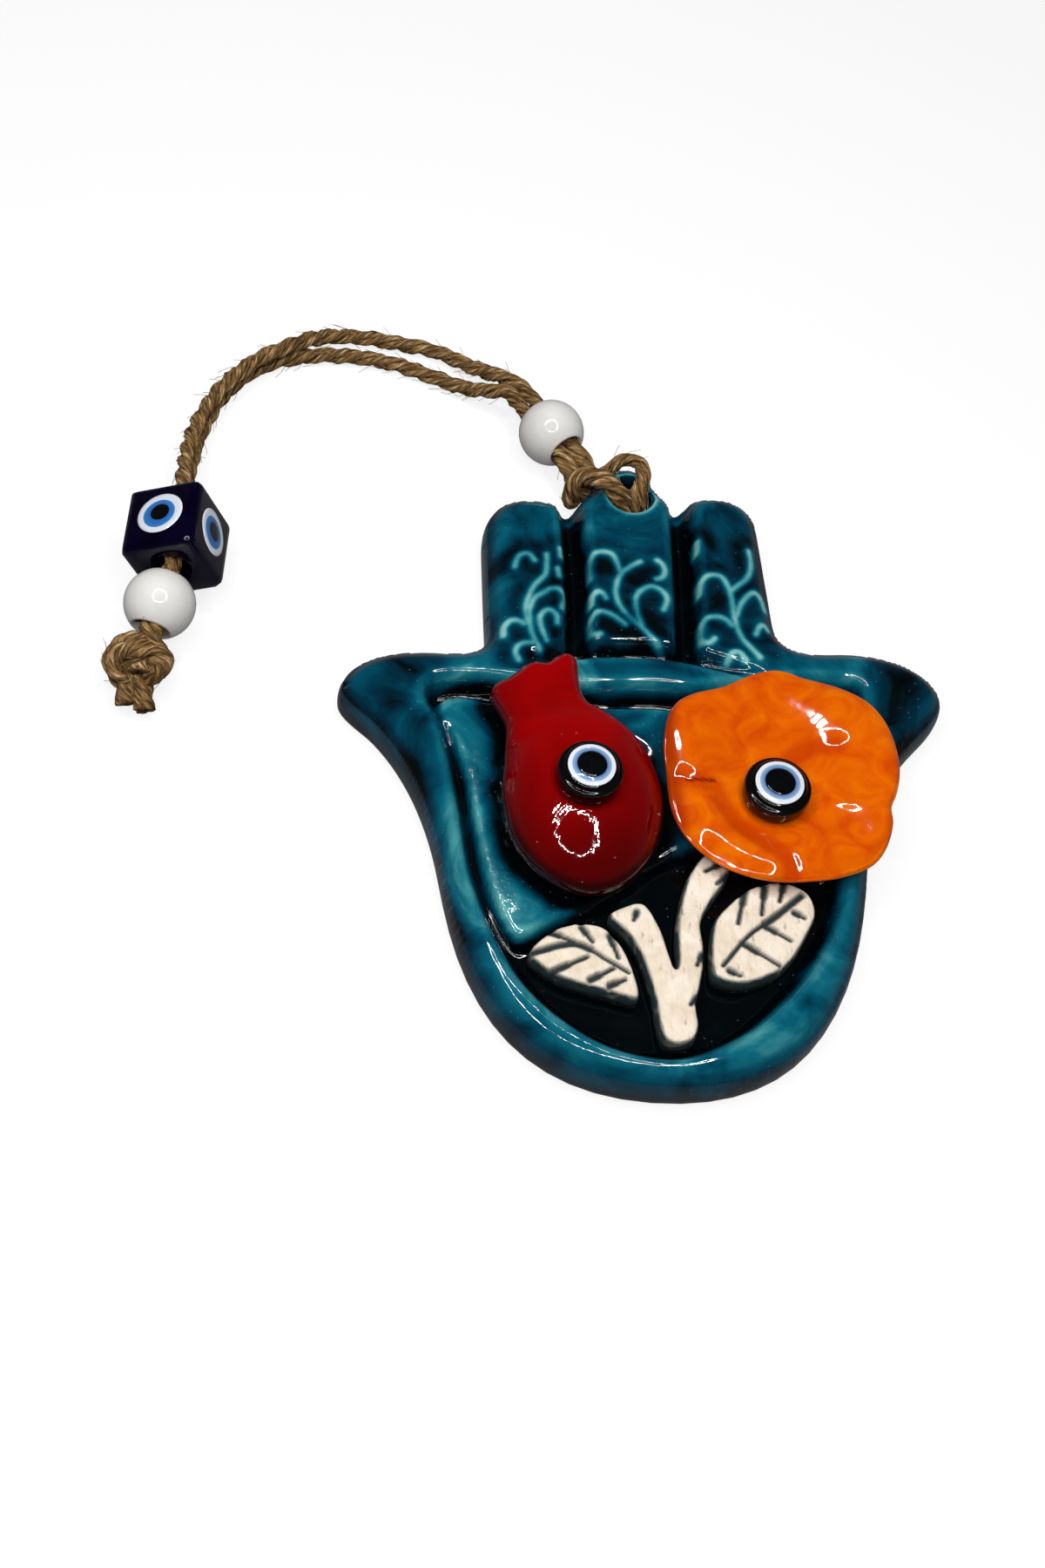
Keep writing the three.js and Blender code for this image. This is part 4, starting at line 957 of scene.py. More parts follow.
# %% Stem and leaves
SPRIG_BASE = 3.8
SPRIG_TOP = 7.7
SPRIG_ROUND = 0.7
SPRIG_ROUND_FOOT = 5.6
SPRIG_EDGE_SHARE = 0.84
SPRIG_CROWN_SHARE = 0.16
SPRIG_CROWN_WIDTH = 1.4
SPRIG_ROUGHNESS = 0.06
SPRIG_SPACING = 0.3
SPRIG_SEAM = 0.6
STEM_OUTLINE = [
    (-10.4, -32), (-7.9, -30.3), (-5.3, -29.7), (-3.8, -30.8), (-2.2, -34.7), (-1.5, -38.1),
    (-0.8, -41), (-0.2, -39.6), (0.1, -35.1), (1, -30.6), (2.5, -26.2), (3.9, -23.6), (5.9, -21.2),
    (8.2, -21), (10, -22.8), (9.5, -25.3), (6, -30), (4.2, -33.4), (4.2, -37), (3.8, -40.5),
    (2.9, -44.1), (1.9, -47.2), (1.9, -50.7), (0.8, -53), (-1.6, -53.8), (-3.6, -53), (-4.3, -50.6),
    (-4.6, -46), (-5.4, -41.4), (-6.3, -38.1), (-7.8, -35.1)]
STEM_CUTS = [
    [(-6.0, -31.6), (-6.6, -33.0)], [(8.6, -23.0), (5.8, -24.4)], [(9.4, -25.0), (7.4, -26.6)],
    [(3.6, -39.0), (2.6, -40.8)], [(2.0, -46.2), (0.8, -47.4)]]
LEFT_LEAF = [
    (-23.4, -38.2), (-20.2, -34.9), (-16.6, -33.4), (-13, -33.4), (-10.3, -34.9), (-7.9, -39.3),
    (-6.9, -46), (-11.4, -45.1), (-17.8, -43), (-21.4, -40.8)]
LEFT_VEINS = [
    [(-22.7, -38.4), (-16.1, -37), (-11, -40), (-8.2, -41.9)], [(-20.1, -34.9), (-16.2, -36.6)],
    [(-14.9, -34.2), (-13.4, -36.6)], [(-10.6, -35.7), (-9.6, -39.4)],
    [(-19.7, -41.5), (-14.4, -39.2)], [(-14.3, -43.1), (-10.5, -41.2)],
    [(-11.4, -44.1), (-8.9, -43.1)]]
RIGHT_LEAF = [
    (4.9, -40.9), (6.1, -33.6), (8.8, -30.2), (12.8, -27.2), (17.8, -26.1), (21.8, -27.8),
    (23, -31.2), (21.4, -35), (16.8, -41), (10.5, -43.8), (6, -43.2)]
RIGHT_VEINS = [
    [(20.9, -28.8), (16, -32.6), (11.5, -35.7), (6.7, -40.9)], [(11.8, -27.9), (10, -33.6)],
    [(15.1, -27.1), (14, -32.1)], [(18.3, -26.7), (17.2, -29.8)], [(19.3, -31.8), (20.8, -32.8)],
    [(14.2, -34.1), (18, -36.7)], [(10.2, -37.1), (15.6, -40.9)], [(7.6, -41.8), (9.2, -42.6)]]
CUT_HALF_WIDTH = 0.5
CUT_WIDENING = 0.62
STEM_CUT_DEPTH = 0.3
VEIN_DEPTH = 0.6
BORDER_WIDTH = 0.4


def cut_distance(lines, plan):
    """Distance to the nearest cut, shortened near the outer end, where the tool went in wider."""
    wide = [line[:max(2, len(line) // 2)] for line in lines]
    return np.minimum(along_lines(lines, plan), CUT_WIDENING * along_lines(wide, plan))


def sprig_piece(name, corners, cuts, depth):
    """One unglazed slab with its cuts."""
    outline = smooth_line(corners, per=6, closed=True)
    lines = [smooth_line(cut, per=5) for cut in cuts]

    def top(plan):
        """Height of the clay's worked face."""
        crown = rounded(depth_inside([outline], plan), SPRIG_CROWN_WIDTH)
        share = SPRIG_EDGE_SHARE + SPRIG_CROWN_SHARE * crown
        height = SPRIG_BASE + (SPRIG_TOP - SPRIG_BASE) * share
        nick = np.clip(1 - cut_distance(lines, plan) / CUT_HALF_WIDTH, 0, 1)
        rough = np.sin(2.1 * plan[:, 0] + 1.3 * plan[:, 1]) * np.sin(1.7 * plan[:, 1])
        return height - depth * eased(nick * 1.4) + SPRIG_ROUGHNESS * rough

    edge = (SPRIG_ROUND, SPRIG_ROUND_FOOT, [(0.0, 0.0)])
    points, faces, _ = slab([outline], SPRIG_SPACING, SPRIG_SEAM, top, [edge],
                            flat_back(SPRIG_BASE))
    plan = points[:, :2]
    cut = eased(1.25 - cut_distance(lines, plan) / CUT_HALF_WIDTH)
    border = np.clip(1.3 - depth_inside([outline], plan) / BORDER_WIDTH, 0, 1)
    return make_piece(name, points, faces, {"cut": cut, "border": border})


stem = sprig_piece("stem_clay", STEM_OUTLINE, STEM_CUTS, STEM_CUT_DEPTH)
left_leaf = sprig_piece("left_leaf_clay", LEFT_LEAF, LEFT_VEINS, VEIN_DEPTH)
right_leaf = sprig_piece("right_leaf_clay", RIGHT_LEAF, RIGHT_VEINS, VEIN_DEPTH)
print("sprig faces:", [len(o.data.polygons) for o in (stem, left_leaf, right_leaf)])

# %% [markdown]
# ## Pomegranate
# One smooth swelling form with a cut crown at the top. Its body is the top of an ellipsoid, and the
# crown is a lower cushion, and the two run into each other through a soft maximum.

# %% Pomegranate
FRUIT_CENTRE = np.array([-13.3, -12.4])
FRUIT_HALF = np.array([13.0, 17.3])
FRUIT_BASE = 8.7
FRUIT_DOME = 8.3
FRUIT_FULLNESS = 2.3
FRUIT_SPACING = 0.4
FRUIT_SEAM = 0.9
FRUIT_EDGE = (1.6, 9.5, [(0.0, 0.5), (0.5, 0.0)])
CROWN_HEIGHT = 5.0
CROWN_ROUND = 2.4
CROWN_SLOPE = (-9, 10)
CREASE_FILL = 2.4
CREASE_SINK = 0.8
EYE_SEAT_TOP = 15.6
EYE_SEAT_SLOPE = (4.9, 1.2)
EYE_SEAT_RIM = 3


def soft_max(a, b, blend):
    """The larger of two heights, with the crease between them filled."""
    return 0.5 * (a + b + np.sqrt((a - b) ** 2 + blend ** 2))


def fruit_top(plan):
    """Height of the pomegranate's glazed skin."""
    share = np.linalg.norm((plan - FRUIT_CENTRE) / FRUIT_HALF, axis=1)
    body = FRUIT_DOME * np.sqrt(np.clip(1 - share ** FRUIT_FULLNESS, 0, 1))
    depth = depth_inside([POMEGRANATE_OUTLINE], plan)
    crown = CROWN_HEIGHT * rounded(depth, CROWN_ROUND) * slope(plan[:, 1], *CROWN_SLOPE)
    height = FRUIT_BASE + soft_max(body, crown, CREASE_FILL) - CREASE_SINK
    seat = slope(np.linalg.norm(plan - FRUIT_CENTRE, axis=1), *EYE_SEAT_SLOPE)
    return np.minimum(height, EYE_SEAT_TOP + EYE_SEAT_RIM * seat)


fruit_points, fruit_faces, _ = slab([POMEGRANATE_OUTLINE], FRUIT_SPACING, FRUIT_SEAM, fruit_top,
                                    [FRUIT_EDGE], flat_back(FRUIT_BASE))


def painted_fruit_shade(points):
    """Painted shade on the red glaze: darker at the foot, on the left side, and most at the lower
    end.
    """
    height = (points[:, 2] - FRUIT_BASE) / FRUIT_DOME
    down = np.clip(-points[:, 1] / 26, 0, 1) ** 1.3
    left_side = eased((FRUIT_CENTRE[0] - 6 - points[:, 0]) / 7)
    at_foot = np.clip(0.9 - 2.2 * height, 0, 1)
    return np.clip(0.72 * down + 0.2 * left_side + at_foot, 0, 0.97)


# the run attribute carries painted shade
pomegranate = make_piece("pomegranate_glazed", fruit_points, fruit_faces,
                         {"run": painted_fruit_shade(fruit_points)})
print("pomegranate faces:", len(pomegranate.data.polygons))

# %% [markdown]
# ## Flower
# A thin open flower, pressed from one slab and cupped by a thumb. A slab's grid would be too coarse
# for its thin lip, and it is round enough to be built in rings: a list of lobes gives the radius in
# every direction, and a profile gives two heights at each share of that radius, one where the lip
# is cupped up and one where it is curled down.

# %% Flower
FLOWER_CENTRE = np.array([17.6, -12.9])
FLOWER_SEAT = 11.3
FLOWER_UNDERSIDE = 8.9
FLOWER_LOBES = [
    (0, 20.2), (18, 22.8), (42, 25.4), (68, 23.8), (84, 24.1), (106, 21.5), (130, 22.4),
    (150, 19.8), (170, 17.4), (205, 16.8), (245, 15.5), (280, 15.6), (303, 17.2), (323, 19.4),
    (343, 19.6), (352, 19.1)]
FLOWER_PROFILE = [
    (0.02, FLOWER_SEAT, FLOWER_SEAT), (0.24, FLOWER_SEAT, FLOWER_SEAT), (0.36, 11.55, 11.6),
    (0.52, 12.2, 12.2),
    (0.68, 13.0, 12.6), (0.8, 13.55, 12.5), (0.88, 13.75, 12.15), (0.94, 13.6, 11.75),
    (0.98, 13.2, 11.4), (1.0, 12.6, 11.0), (0.99, 12.0, 10.6), (0.95, 11.4, 10.3),
    (0.8, 10.2, 9.9), (0.62, 9.2, 9.2), (0.5, FLOWER_UNDERSIDE, FLOWER_UNDERSIDE),
    (0.02, FLOWER_UNDERSIDE, FLOWER_UNDERSIDE)]
FLOWER_STEPS = 200
CUPPED_SIDE = 65.0
CUPPED_SHARE = 0.62
UNDERSIDE_WAVE = 0.55
PRESSED_SHARE = 0.55
FOLD_DEPTH = 0.32
FOLD_HALF_WIDTH = 2.6
TEAR_DEPTH = 0.2
TEAR_HALF_WIDTH = 0.3
DENT_DEPTH = 0.24
LEFT_DARKENING_REACH = 13.5
PETAL_FOLDS = [[(8.6, -12.6), (10.4, -17.6), (14.6, -21.4), (18.2, -25.0), (18.6, -29.0)],
               [(21.6, -5.4), (25.6, -3.6), (29.4, -3.4)], [(3.2, -9.8), (8.0, -11.0)]]
PETAL_TEAR = [(3.4, -10.2), (8.2, -10.1)]
fold_lines = [smooth_line(line) for line in PETAL_FOLDS]


def lobe_radius(angle):
    """Radius of the flower's lip in some direction, in degrees."""
    turns, reach = np.array(FLOWER_LOBES).T
    turns = np.concatenate([turns - 360, turns, turns + 360])
    line = smooth_line(np.column_stack([turns, np.tile(reach, 3)]), per=8)
    return np.interp(angle, line[:, 0], line[:, 1])


def flower_shell():
    """Rings of points from the seat, over the lip, to the underside."""
    angle = np.linspace(0, 360, FLOWER_STEPS, endpoint=False)
    heading = np.column_stack([np.cos(np.radians(angle)), np.sin(np.radians(angle))])
    profile = smooth_line(FLOWER_PROFILE, per=5)
    reach = lobe_radius(angle)
    wave = 0.3 * np.sin(np.radians(3 * angle + 40)) + 0.25 * np.sin(np.radians(5 * angle + 130))
    cupped = eased(0.5 + CUPPED_SHARE * np.cos(np.radians(angle - CUPPED_SIDE)))
    rings = []
    for number, (share, cupped_height, curled_height) in enumerate(profile):
        plan = FLOWER_CENTRE + heading * (share * reach)[:, None]
        z = curled_height + (cupped_height - curled_height) * cupped
        z = z + wave * share ** 3 * (UNDERSIDE_WAVE if number > len(profile) / 2 else 1.0)
        if number < PRESSED_SHARE * len(profile):
            fold = np.clip(1 - along_lines(fold_lines, plan) / FOLD_HALF_WIDTH, 0, 1)
            tear = np.clip(1 - along_lines([PETAL_TEAR], plan) / TEAR_HALF_WIDTH, 0, 1)
            z = z - FOLD_DEPTH * eased(fold) - TEAR_DEPTH * tear
            z = z + DENT_DEPTH * np.sin(0.45 * plan[:, 0] + 1.2) * np.sin(0.42 * plan[:, 1] + 0.4)
        rings.append(np.column_stack([plan, z]))
    return rings


flower_rings = flower_shell()
flower_poles = [[[*FLOWER_CENTRE, height]] for height in (FLOWER_SEAT, FLOWER_UNDERSIDE)]
flower_points = np.vstack(flower_rings + flower_poles)
flower_faces = [face[::-1] for face in capped_faces(len(flower_rings), FLOWER_STEPS)]
flower_plan = flower_points[:, :2]
# fold carries painted shade in the petal folds
flower = make_piece("flower_glazed", flower_points, flower_faces, {
    "fold": eased(1.2 - along_lines(fold_lines, flower_plan) / 2.2),
    "tear": eased(1.2 - along_lines([PETAL_TEAR], flower_plan) / 0.35),
    "edge": eased((FLOWER_CENTRE[0] - LEFT_DARKENING_REACH - flower_plan[:, 0]) / 3)})
print("flower faces:", len(flower.data.polygons))

# %% [markdown]
# ## Eyes and beads
# Turned shapes come from one profile spun about an axis. Blender's Screw modifier does this too,
# but a function that returns arrays can set a bead on any axis straight away, and can leave the
# ring of a bore or close a dome at its pole.

# %% Turned shapes
TURN_STEPS = 64


def basis_for(axis):
    """Two directions across an axis, and the axis."""
    axis = unit(axis)
    first = np.cross([0.0, 0.0, 1.0], axis)
    if np.linalg.norm(first) < 0.2:
        first = np.array([1.0, 0.0, 0.0]) - axis * axis[0]
    first = unit(first)
    return np.array([first, np.cross(axis, first), axis])


def spun(profile, centre, axis=(0, 0, 1), ring=False):
    """A profile of (radius, height) spun about an axis: a ring keeps its hole, else poles close."""
    profile = np.array(profile, float)
    turn = np.linspace(0, FULL_TURN, TURN_STEPS, endpoint=False)
    rows = profile if ring else profile[1:-1]
    local = np.vstack([
        np.column_stack([r * np.cos(turn), r * np.sin(turn), np.full(TURN_STEPS, h)])
        for r, h in rows])
    if ring:
        faces = ring_faces(len(rows), TURN_STEPS)
        last = (len(rows) - 1) * TURN_STEPS
        for j in range(TURN_STEPS):
            k = (j + 1) % TURN_STEPS
            faces.append([last + j, last + k, k, j])
    else:
        faces = capped_faces(len(rows), TURN_STEPS)
        local = np.vstack([local, [[0, 0, profile[0, 1]], [0, 0, profile[-1, 1]]]])
    return local @ basis_for(axis) + np.asarray(centre, float), faces, local


def share_across(local, inner, outer):
    """0 at a ring's inner edge, 1 at its outer edge."""
    return np.clip((np.hypot(local[:, 0], local[:, 1]) - inner) / (outer - inner), 0, 1)


# %% Glass eyes on the pomegranate and the flower
EYE_RINGS = {"white": (3.95, 3.25), "blue": (3.25, 2.48), "pupil": (2.48, 0.0)}
EYE_CROWN = 0.9
EYE_SUNK = 0.15
EYE_SKIN = 0.03
EYE_POUR_DEPTH = 1.2
SKIN_POINTS = 9


def eye_bead(name, centre, bottom, radius, height, scale):
    """A black button and its three poured layers, as separate pieces."""
    def crown(r):
        """Height of the domed glass at some radius."""
        return height - EYE_CROWN * (r / radius) ** 2

    place = (*centre, bottom)
    edge = [(radius - 0.5, 0.0), (radius - 0.12, 0.25), (radius, 0.8), (radius, height - 2.0),
            (radius - 0.2, height - 1.4), (radius - 0.7, crown(radius) - 0.25)]
    dome = [(r, crown(r) - EYE_SUNK) for r in np.linspace(radius - 1.2, 0.2, 8)]
    profile = smooth_line([(0, 0), (radius - 1.5, 0), *edge, *dome, (0, height - EYE_SUNK)], per=4)
    points, faces, _ = spun(profile, place)
    pieces = {"": make_piece(name, points, faces)}
    poured_from = height - EYE_POUR_DEPTH
    for layer, (outer, inner) in EYE_RINGS.items():
        outer, inner = outer * scale, inner * scale
        skin = [(r, crown(r) + EYE_SKIN) for r in np.linspace(outer, max(inner, 0.02), SKIN_POINTS)]
        loop = [(inner, poured_from), (outer, poured_from), *skin]
        if inner == 0:
            loop.append((0, crown(0) + EYE_SKIN))
        points, faces, local = spun(loop, place, ring=inner > 0)
        across = share_across(local, inner, outer)
        pieces["_" + layer] = make_piece(name + "_" + layer, points, faces, {"across": across})
    return pieces


fruit_eye = eye_bead("pomegranate_eye_glass", FRUIT_CENTRE, bottom=16.3, radius=5.2, height=4.3,
                     scale=0.955)
flower_eye = eye_bead("flower_eye_glass", FLOWER_CENTRE, bottom=12.1, radius=5.45, height=4.3,
                      scale=1.0)
print("eye pieces:", len(fruit_eye) + len(flower_eye))

# %% White beads
BEAD_RADIUS = 6.0
BORE_RADIUS = 3.1
BORE_ROUND = 0.35
BORE_LIP = 0.4


def white_bead(name, centre, axis):
    """A glazed round bead with a smooth-lipped bore."""
    reach = math.acos((BORE_RADIUS + BORE_ROUND) / BEAD_RADIUS)
    outside = [(BEAD_RADIUS * math.cos(a), BEAD_RADIUS * math.sin(a))
               for a in np.linspace(-reach, reach, 40)]
    end = BEAD_RADIUS * math.sin(reach)
    bore = [(BORE_RADIUS, h) for h in np.linspace(end - BORE_LIP, BORE_LIP - end, 6)]
    points, faces, _ = spun(outside + bore, centre, axis, ring=True)
    return make_piece(name, points, faces)


top_bead = white_bead("top_bead_glazed", TOP_BEAD, CORD_UP)
bottom_bead = white_bead("bottom_bead_glazed", BOTTOM_BEAD, TAIL_AXIS)
print("bead faces:", len(top_bead.data.polygons), len(bottom_bead.data.polygons))

# %% [markdown]
# ## Cube of eyes
# The cube is a cast glass block with a bore for the cord and an eye set in each of its four long
# sides. It is a slab too: a rounded square with a hole, stood on end along the cord.

# %% Cube bead
CUBE_EDGE = 13.4
CUBE_BORE = 3.1
CUBE_ROUND = 1.2
CUBE_CORNER = 1.3
CUBE_SPACING = 0.4
CUBE_SEAM = 1.0
CUBE_WALL = [(0.0, 0.6), (0.0, 0.12), (0.15, 0.05), (0.5, 0.015), (1.1, 0.0)]
CUBE_TILT = math.radians(-22.8)
CUBE_TURN = math.radians(-5.3)


def cube_basis():
    """The cube's own axes: turned about the cord, then with the cord's heading."""
    tilt = Matrix.Rotation(CUBE_TILT, 3, "Y")
    turn = Matrix.Rotation(CUBE_TURN, 3, "Z")
    return np.array(turn @ tilt)


def rounded_square(half, corner, per=6):
    """A square outline with round corners."""
    outline = []
    for number, (sx, sy) in enumerate([(1, 1), (-1, 1), (-1, -1), (1, -1)]):
        for t in np.linspace(0, math.pi / 2, per):
            angle = t + number * math.pi / 2
            outline.append([sx * (half - corner) + corner * math.cos(angle),
                            sy * (half - corner) + corner * math.sin(angle)])
    return np.array(outline)


half_edge = CUBE_EDGE / 2
axes = cube_basis()
cube_loops = [rounded_square(half_edge, CUBE_CORNER), round_hole(CUBE_BORE)]


def cube_end(plan):
    """The rounded upper end of the block while it stands on its bore."""
    depth = depth_inside(cube_loops, plan)
    return CUBE_EDGE - CUBE_ROUND + CUBE_ROUND * rounded(depth, CUBE_ROUND)


cube_edge = (CUBE_ROUND, CUBE_EDGE - CUBE_ROUND, CUBE_WALL)
cube_points, cube_faces, _ = slab(cube_loops, CUBE_SPACING, CUBE_SEAM, cube_end,
                                  [cube_edge, cube_edge], flat_back(0))
standing = cube_points - [0, 0, half_edge]
cube_local = np.column_stack([standing[:, 1], standing[:, 2], standing[:, 0]])
cube = make_piece("cube_bead_glass", cube_local @ axes.T + CUBE_CENTRE, cube_faces)
print("cube faces:", len(cube.data.polygons))

# %% Eyes of the cube
CUBE_EYE = {"white": (4.2, 3.2), "blue": (3.2, 1.95), "pupil": (1.95, 0.0)}
CUBE_EYE_DRIFT = [(-0.3, 0.15), (0.35, -0.2), (0.2, 0.2), (-0.2, -0.1)]
LAYER_DRIFT = (1.0, 0.55, 1.15)
LAYER_LIFT = 0.06
LAYER_STEP = 0.05
LAYER_DOME = 0.1
LAYER_LIP = 0.08
LAYER_ROOT = -0.6


def cube_eye(side):
    """The three poured layers of one side's eye, each a little off centre."""
    outward = axes @ np.array([math.sin(side * math.pi / 2), 0, math.cos(side * math.pi / 2)])
    spread = basis_for(outward)
    face = CUBE_CENTRE + outward * half_edge
    pieces = {}
    for number, (layer, (outer, inner)) in enumerate(CUBE_EYE.items()):
        off = np.array(CUBE_EYE_DRIFT[side]) * LAYER_DRIFT[number]
        spot = face + off[0] * spread[0] + off[1] * spread[1]
        top = LAYER_LIFT + LAYER_STEP * number
        rs = np.linspace(outer, 0.05, SKIN_POINTS)
        skin = [(r, top + LAYER_DOME * (1 - (r / outer) ** 2) - LAYER_LIP * (r > outer - 0.01))
                for r in rs]
        loop = [(0, LAYER_ROOT), (outer - 0.05, LAYER_ROOT), *skin, (0, top + LAYER_DOME)]
        points, faces, local = spun(loop, spot, outward)
        across = share_across(local, inner, outer)
        name = f"cube_eye_{side + 1}_{layer}_glass"
        pieces[layer] = make_piece(name, points, faces, {"across": across})
    return pieces


cube_eyes = [cube_eye(side) for side in range(4)]
print("cube eye pieces:", sum(len(pieces) for pieces in cube_eyes))

# %% [markdown]
# ## Finishes
# Each finish is a node material built by a few lines. Two effects are shared and become node
# groups: a cloudy drift of colour that every glaze and clay shows, and fine specks of dust and
# kiln grit. The groups only give masks; each material decides what colour they bring. Image maps
# would fix the detail once; noise over object space needs no unwrapping and has no seams.

# %% Node helpers


def srgb(red, green, blue):
    """A colour as it looks on screen, from 0 to 255, as the linear values that nodes take."""
    def linear(v):
        """One channel without the screen's curve."""
        v = v / 255
        return v / 12.92 if v <= 0.04045 else ((v + 0.055) / 1.055) ** 2.4
    return (linear(red), linear(green), linear(blue), 1.0)


def add_node(tree, kind, inputs=None, **settings):
    """A node with its settings, its values and its incoming links."""
    node = tree.nodes.new(kind)
    for key, value in settings.items():
        setattr(node, key, value)
    for key, value in (inputs or {}).items():
        if isinstance(value, bpy.types.NodeSocket):
            tree.links.new(value, node.inputs[key])
        else:
            node.inputs[key].default_value = value
    return node


def maths(tree, operation, *values, clamp=False):
    """The result of a maths node."""
    node = add_node(tree, "ShaderNodeMath", dict(enumerate(values)), operation=operation,
                    use_clamp=clamp)
    return node.outputs[0]


def group_with(name, inputs, outputs):
    """An empty shader group with float inputs and outputs."""
    tree = bpy.data.node_groups.new(name, "ShaderNodeTree")
    for key, value in inputs.items():
        socket = tree.interface.new_socket(key, in_out="INPUT", socket_type="NodeSocketFloat")
        socket.default_value = value
    for key in outputs:
        tree.interface.new_socket(key, in_out="OUTPUT", socket_type="NodeSocketFloat")
    return tree, tree.nodes.new("NodeGroupInput"), tree.nodes.new("NodeGroupOutput")


def drift_group():
    """Slow clouds of colour, with a finer grain in the second output."""
    tree, given, result = group_with("kiln_drift", {"Scale": 120.0, "Warp": 0.6},
                                     ["Cloud", "Grain"])
    where = add_node(tree, "ShaderNodeTexCoord")
    cloud = add_node(tree, "ShaderNodeTexNoise", {
        "Vector": where.outputs["Object"], "Scale": given.outputs["Scale"], "Detail": 4.0,
        "Roughness": 0.55, "Distortion": given.outputs["Warp"]})
    finer = maths(tree, "MULTIPLY", given.outputs["Scale"], 9.0)
    grain = add_node(tree, "ShaderNodeTexNoise", {
        "Vector": where.outputs["Object"], "Scale": finer, "Detail": 3.0})
    tree.links.new(cloud.outputs["Fac"], result.inputs["Cloud"])
    tree.links.new(grain.outputs["Fac"], result.inputs["Grain"])
    return tree


def speck_group():
    """Sparse small dots, as dust or grit leaves them."""
    tree, given, result = group_with("kiln_specks", {"Scale": 500.0, "Size": 0.12}, ["Specks"])
    where = add_node(tree, "ShaderNodeTexCoord")
    cells = add_node(tree, "ShaderNodeTexVoronoi", {
        "Vector": where.outputs["Object"], "Scale": given.outputs["Scale"], "Randomness": 1.0})
    near = maths(tree, "LESS_THAN", cells.outputs["Distance"], given.outputs["Size"])
    few = add_node(tree, "ShaderNodeSeparateColor", {"Color": cells.outputs["Color"]})
    rare = maths(tree, "GREATER_THAN", few.outputs[0], 0.72)
    tree.links.new(maths(tree, "MULTIPLY", near, rare), result.inputs["Specks"])
    return tree


KILN_DRIFT = drift_group()
KILN_SPECKS = speck_group()


def new_finish(name, **values):
    """A material, its tree and its Principled shader with plain values set on its own sockets."""
    material = bpy.data.materials.new(name)
    material.use_nodes = True
    tree = material.node_tree
    shader = tree.nodes["Principled BSDF"]
    for key, value in values.items():
        shader.inputs[key.replace("_", " ")].default_value = value
    return material, tree, shader


def drift(tree, scale, warp=0.6):
    """The two masks of the cloudy drift."""
    node = add_node(tree, "ShaderNodeGroup", {"Scale": scale, "Warp": warp}, node_tree=KILN_DRIFT)
    return node.outputs


def specks(tree, scale, size):
    """The mask of fine specks."""
    node = add_node(tree, "ShaderNodeGroup", {"Scale": scale, "Size": size}, node_tree=KILN_SPECKS)
    return node.outputs["Specks"]


def attribute(tree, name):
    """A mask that a piece's points carry."""
    return add_node(tree, "ShaderNodeAttribute", attribute_name=name).outputs["Fac"]


def ramp(tree, factor, stops):
    """A colour ramp over (place, colour) stops."""
    node = add_node(tree, "ShaderNodeValToRGB", {"Fac": factor})
    elements = node.color_ramp.elements
    while len(elements) < len(stops):
        elements.new(0.5)
    for element, (spot, colour) in zip(elements, stops):
        element.position = spot
        element.color = colour
    return node.outputs["Color"]


def mixed(tree, factor, a, b):
    """Two colours mixed by a factor."""
    node = add_node(tree, "ShaderNodeMix", {0: factor, 6: a, 7: b}, data_type="RGBA")
    return node.outputs[2]


def tinted(tree, colour, mask, share, tone):
    """A colour drawn towards another tone by a share of a mask."""
    return mixed(tree, maths(tree, "MULTIPLY", mask, share), colour, tone)


def bumped(tree, shader, height, strength, distance):
    """A bump on a shader's normal."""
    bump = add_node(tree, "ShaderNodeBump", {"Height": height, "Strength": strength,
                                             "Distance": distance})
    tree.links.new(bump.outputs["Normal"], shader.inputs["Normal"])


def clouded(name, scale, low, high, reach=0.7, skin=None, **values):
    """A finish that drifts between two tones. A skin is a mask's name, a strength and a depth."""
    material, tree, shader = new_finish(name, **values)
    masks = drift(tree, scale)
    colour = ramp(tree, masks["Cloud"], [(0.3, low), (reach, high)])
    tree.links.new(colour, shader.inputs["Base Color"])
    if skin:
        mask, strength, distance = skin
        bumped(tree, shader, masks[mask], strength, distance)
    return material


# %% [markdown]
# The teal glaze is glassy: thin and pale where the clay stands proud, near black where it pools.
# The hand's attribute of how thick the glaze lies, with painted shade and highlights added, drives
# one colour ramp, and slow clouds push it either way.

# %% Glazes


def teal_glaze():
    """Teal by how thick the glaze lies, with painted light added, with faint specks and a pitted
    strip.
    """
    material, tree, shader = new_finish("teal_glaze", Roughness=0.05, IOR=1.5)
    cloud = drift(tree, 75.0, 1.0)["Cloud"]
    push = maths(tree, "MULTIPLY_ADD", cloud, 1.1, -0.48)
    # the attribute holds how thick the glaze lies, with painted shade and painted highlights added
    thick = maths(tree, "ADD", attribute(tree, "thickness_and_painted_light"), push, clamp=True)
    colour = ramp(tree, thick, [
        (0.0, srgb(140, 195, 192)), (0.2, srgb(70, 150, 155)), (0.4, srgb(14, 104, 122)),
        (0.56, srgb(0, 76, 98)), (0.72, srgb(0, 46, 66)), (0.88, srgb(1, 14, 20)),
        (1.0, srgb(1, 5, 7))])
    colour = tinted(tree, colour, specks(tree, 900.0, 0.13), 0.12, srgb(150, 190, 190))
    tree.links.new(colour, shader.inputs["Base Color"])
    pits = drift(tree, 520.0, 0.0)["Cloud"]
    skin = maths(tree, "MULTIPLY", pits, attribute(tree, "pitting"))
    skin = maths(tree, "ADD", skin, maths(tree, "MULTIPLY", cloud, 0.06))
    bumped(tree, shader, skin, 0.7, 0.0005)
    return material


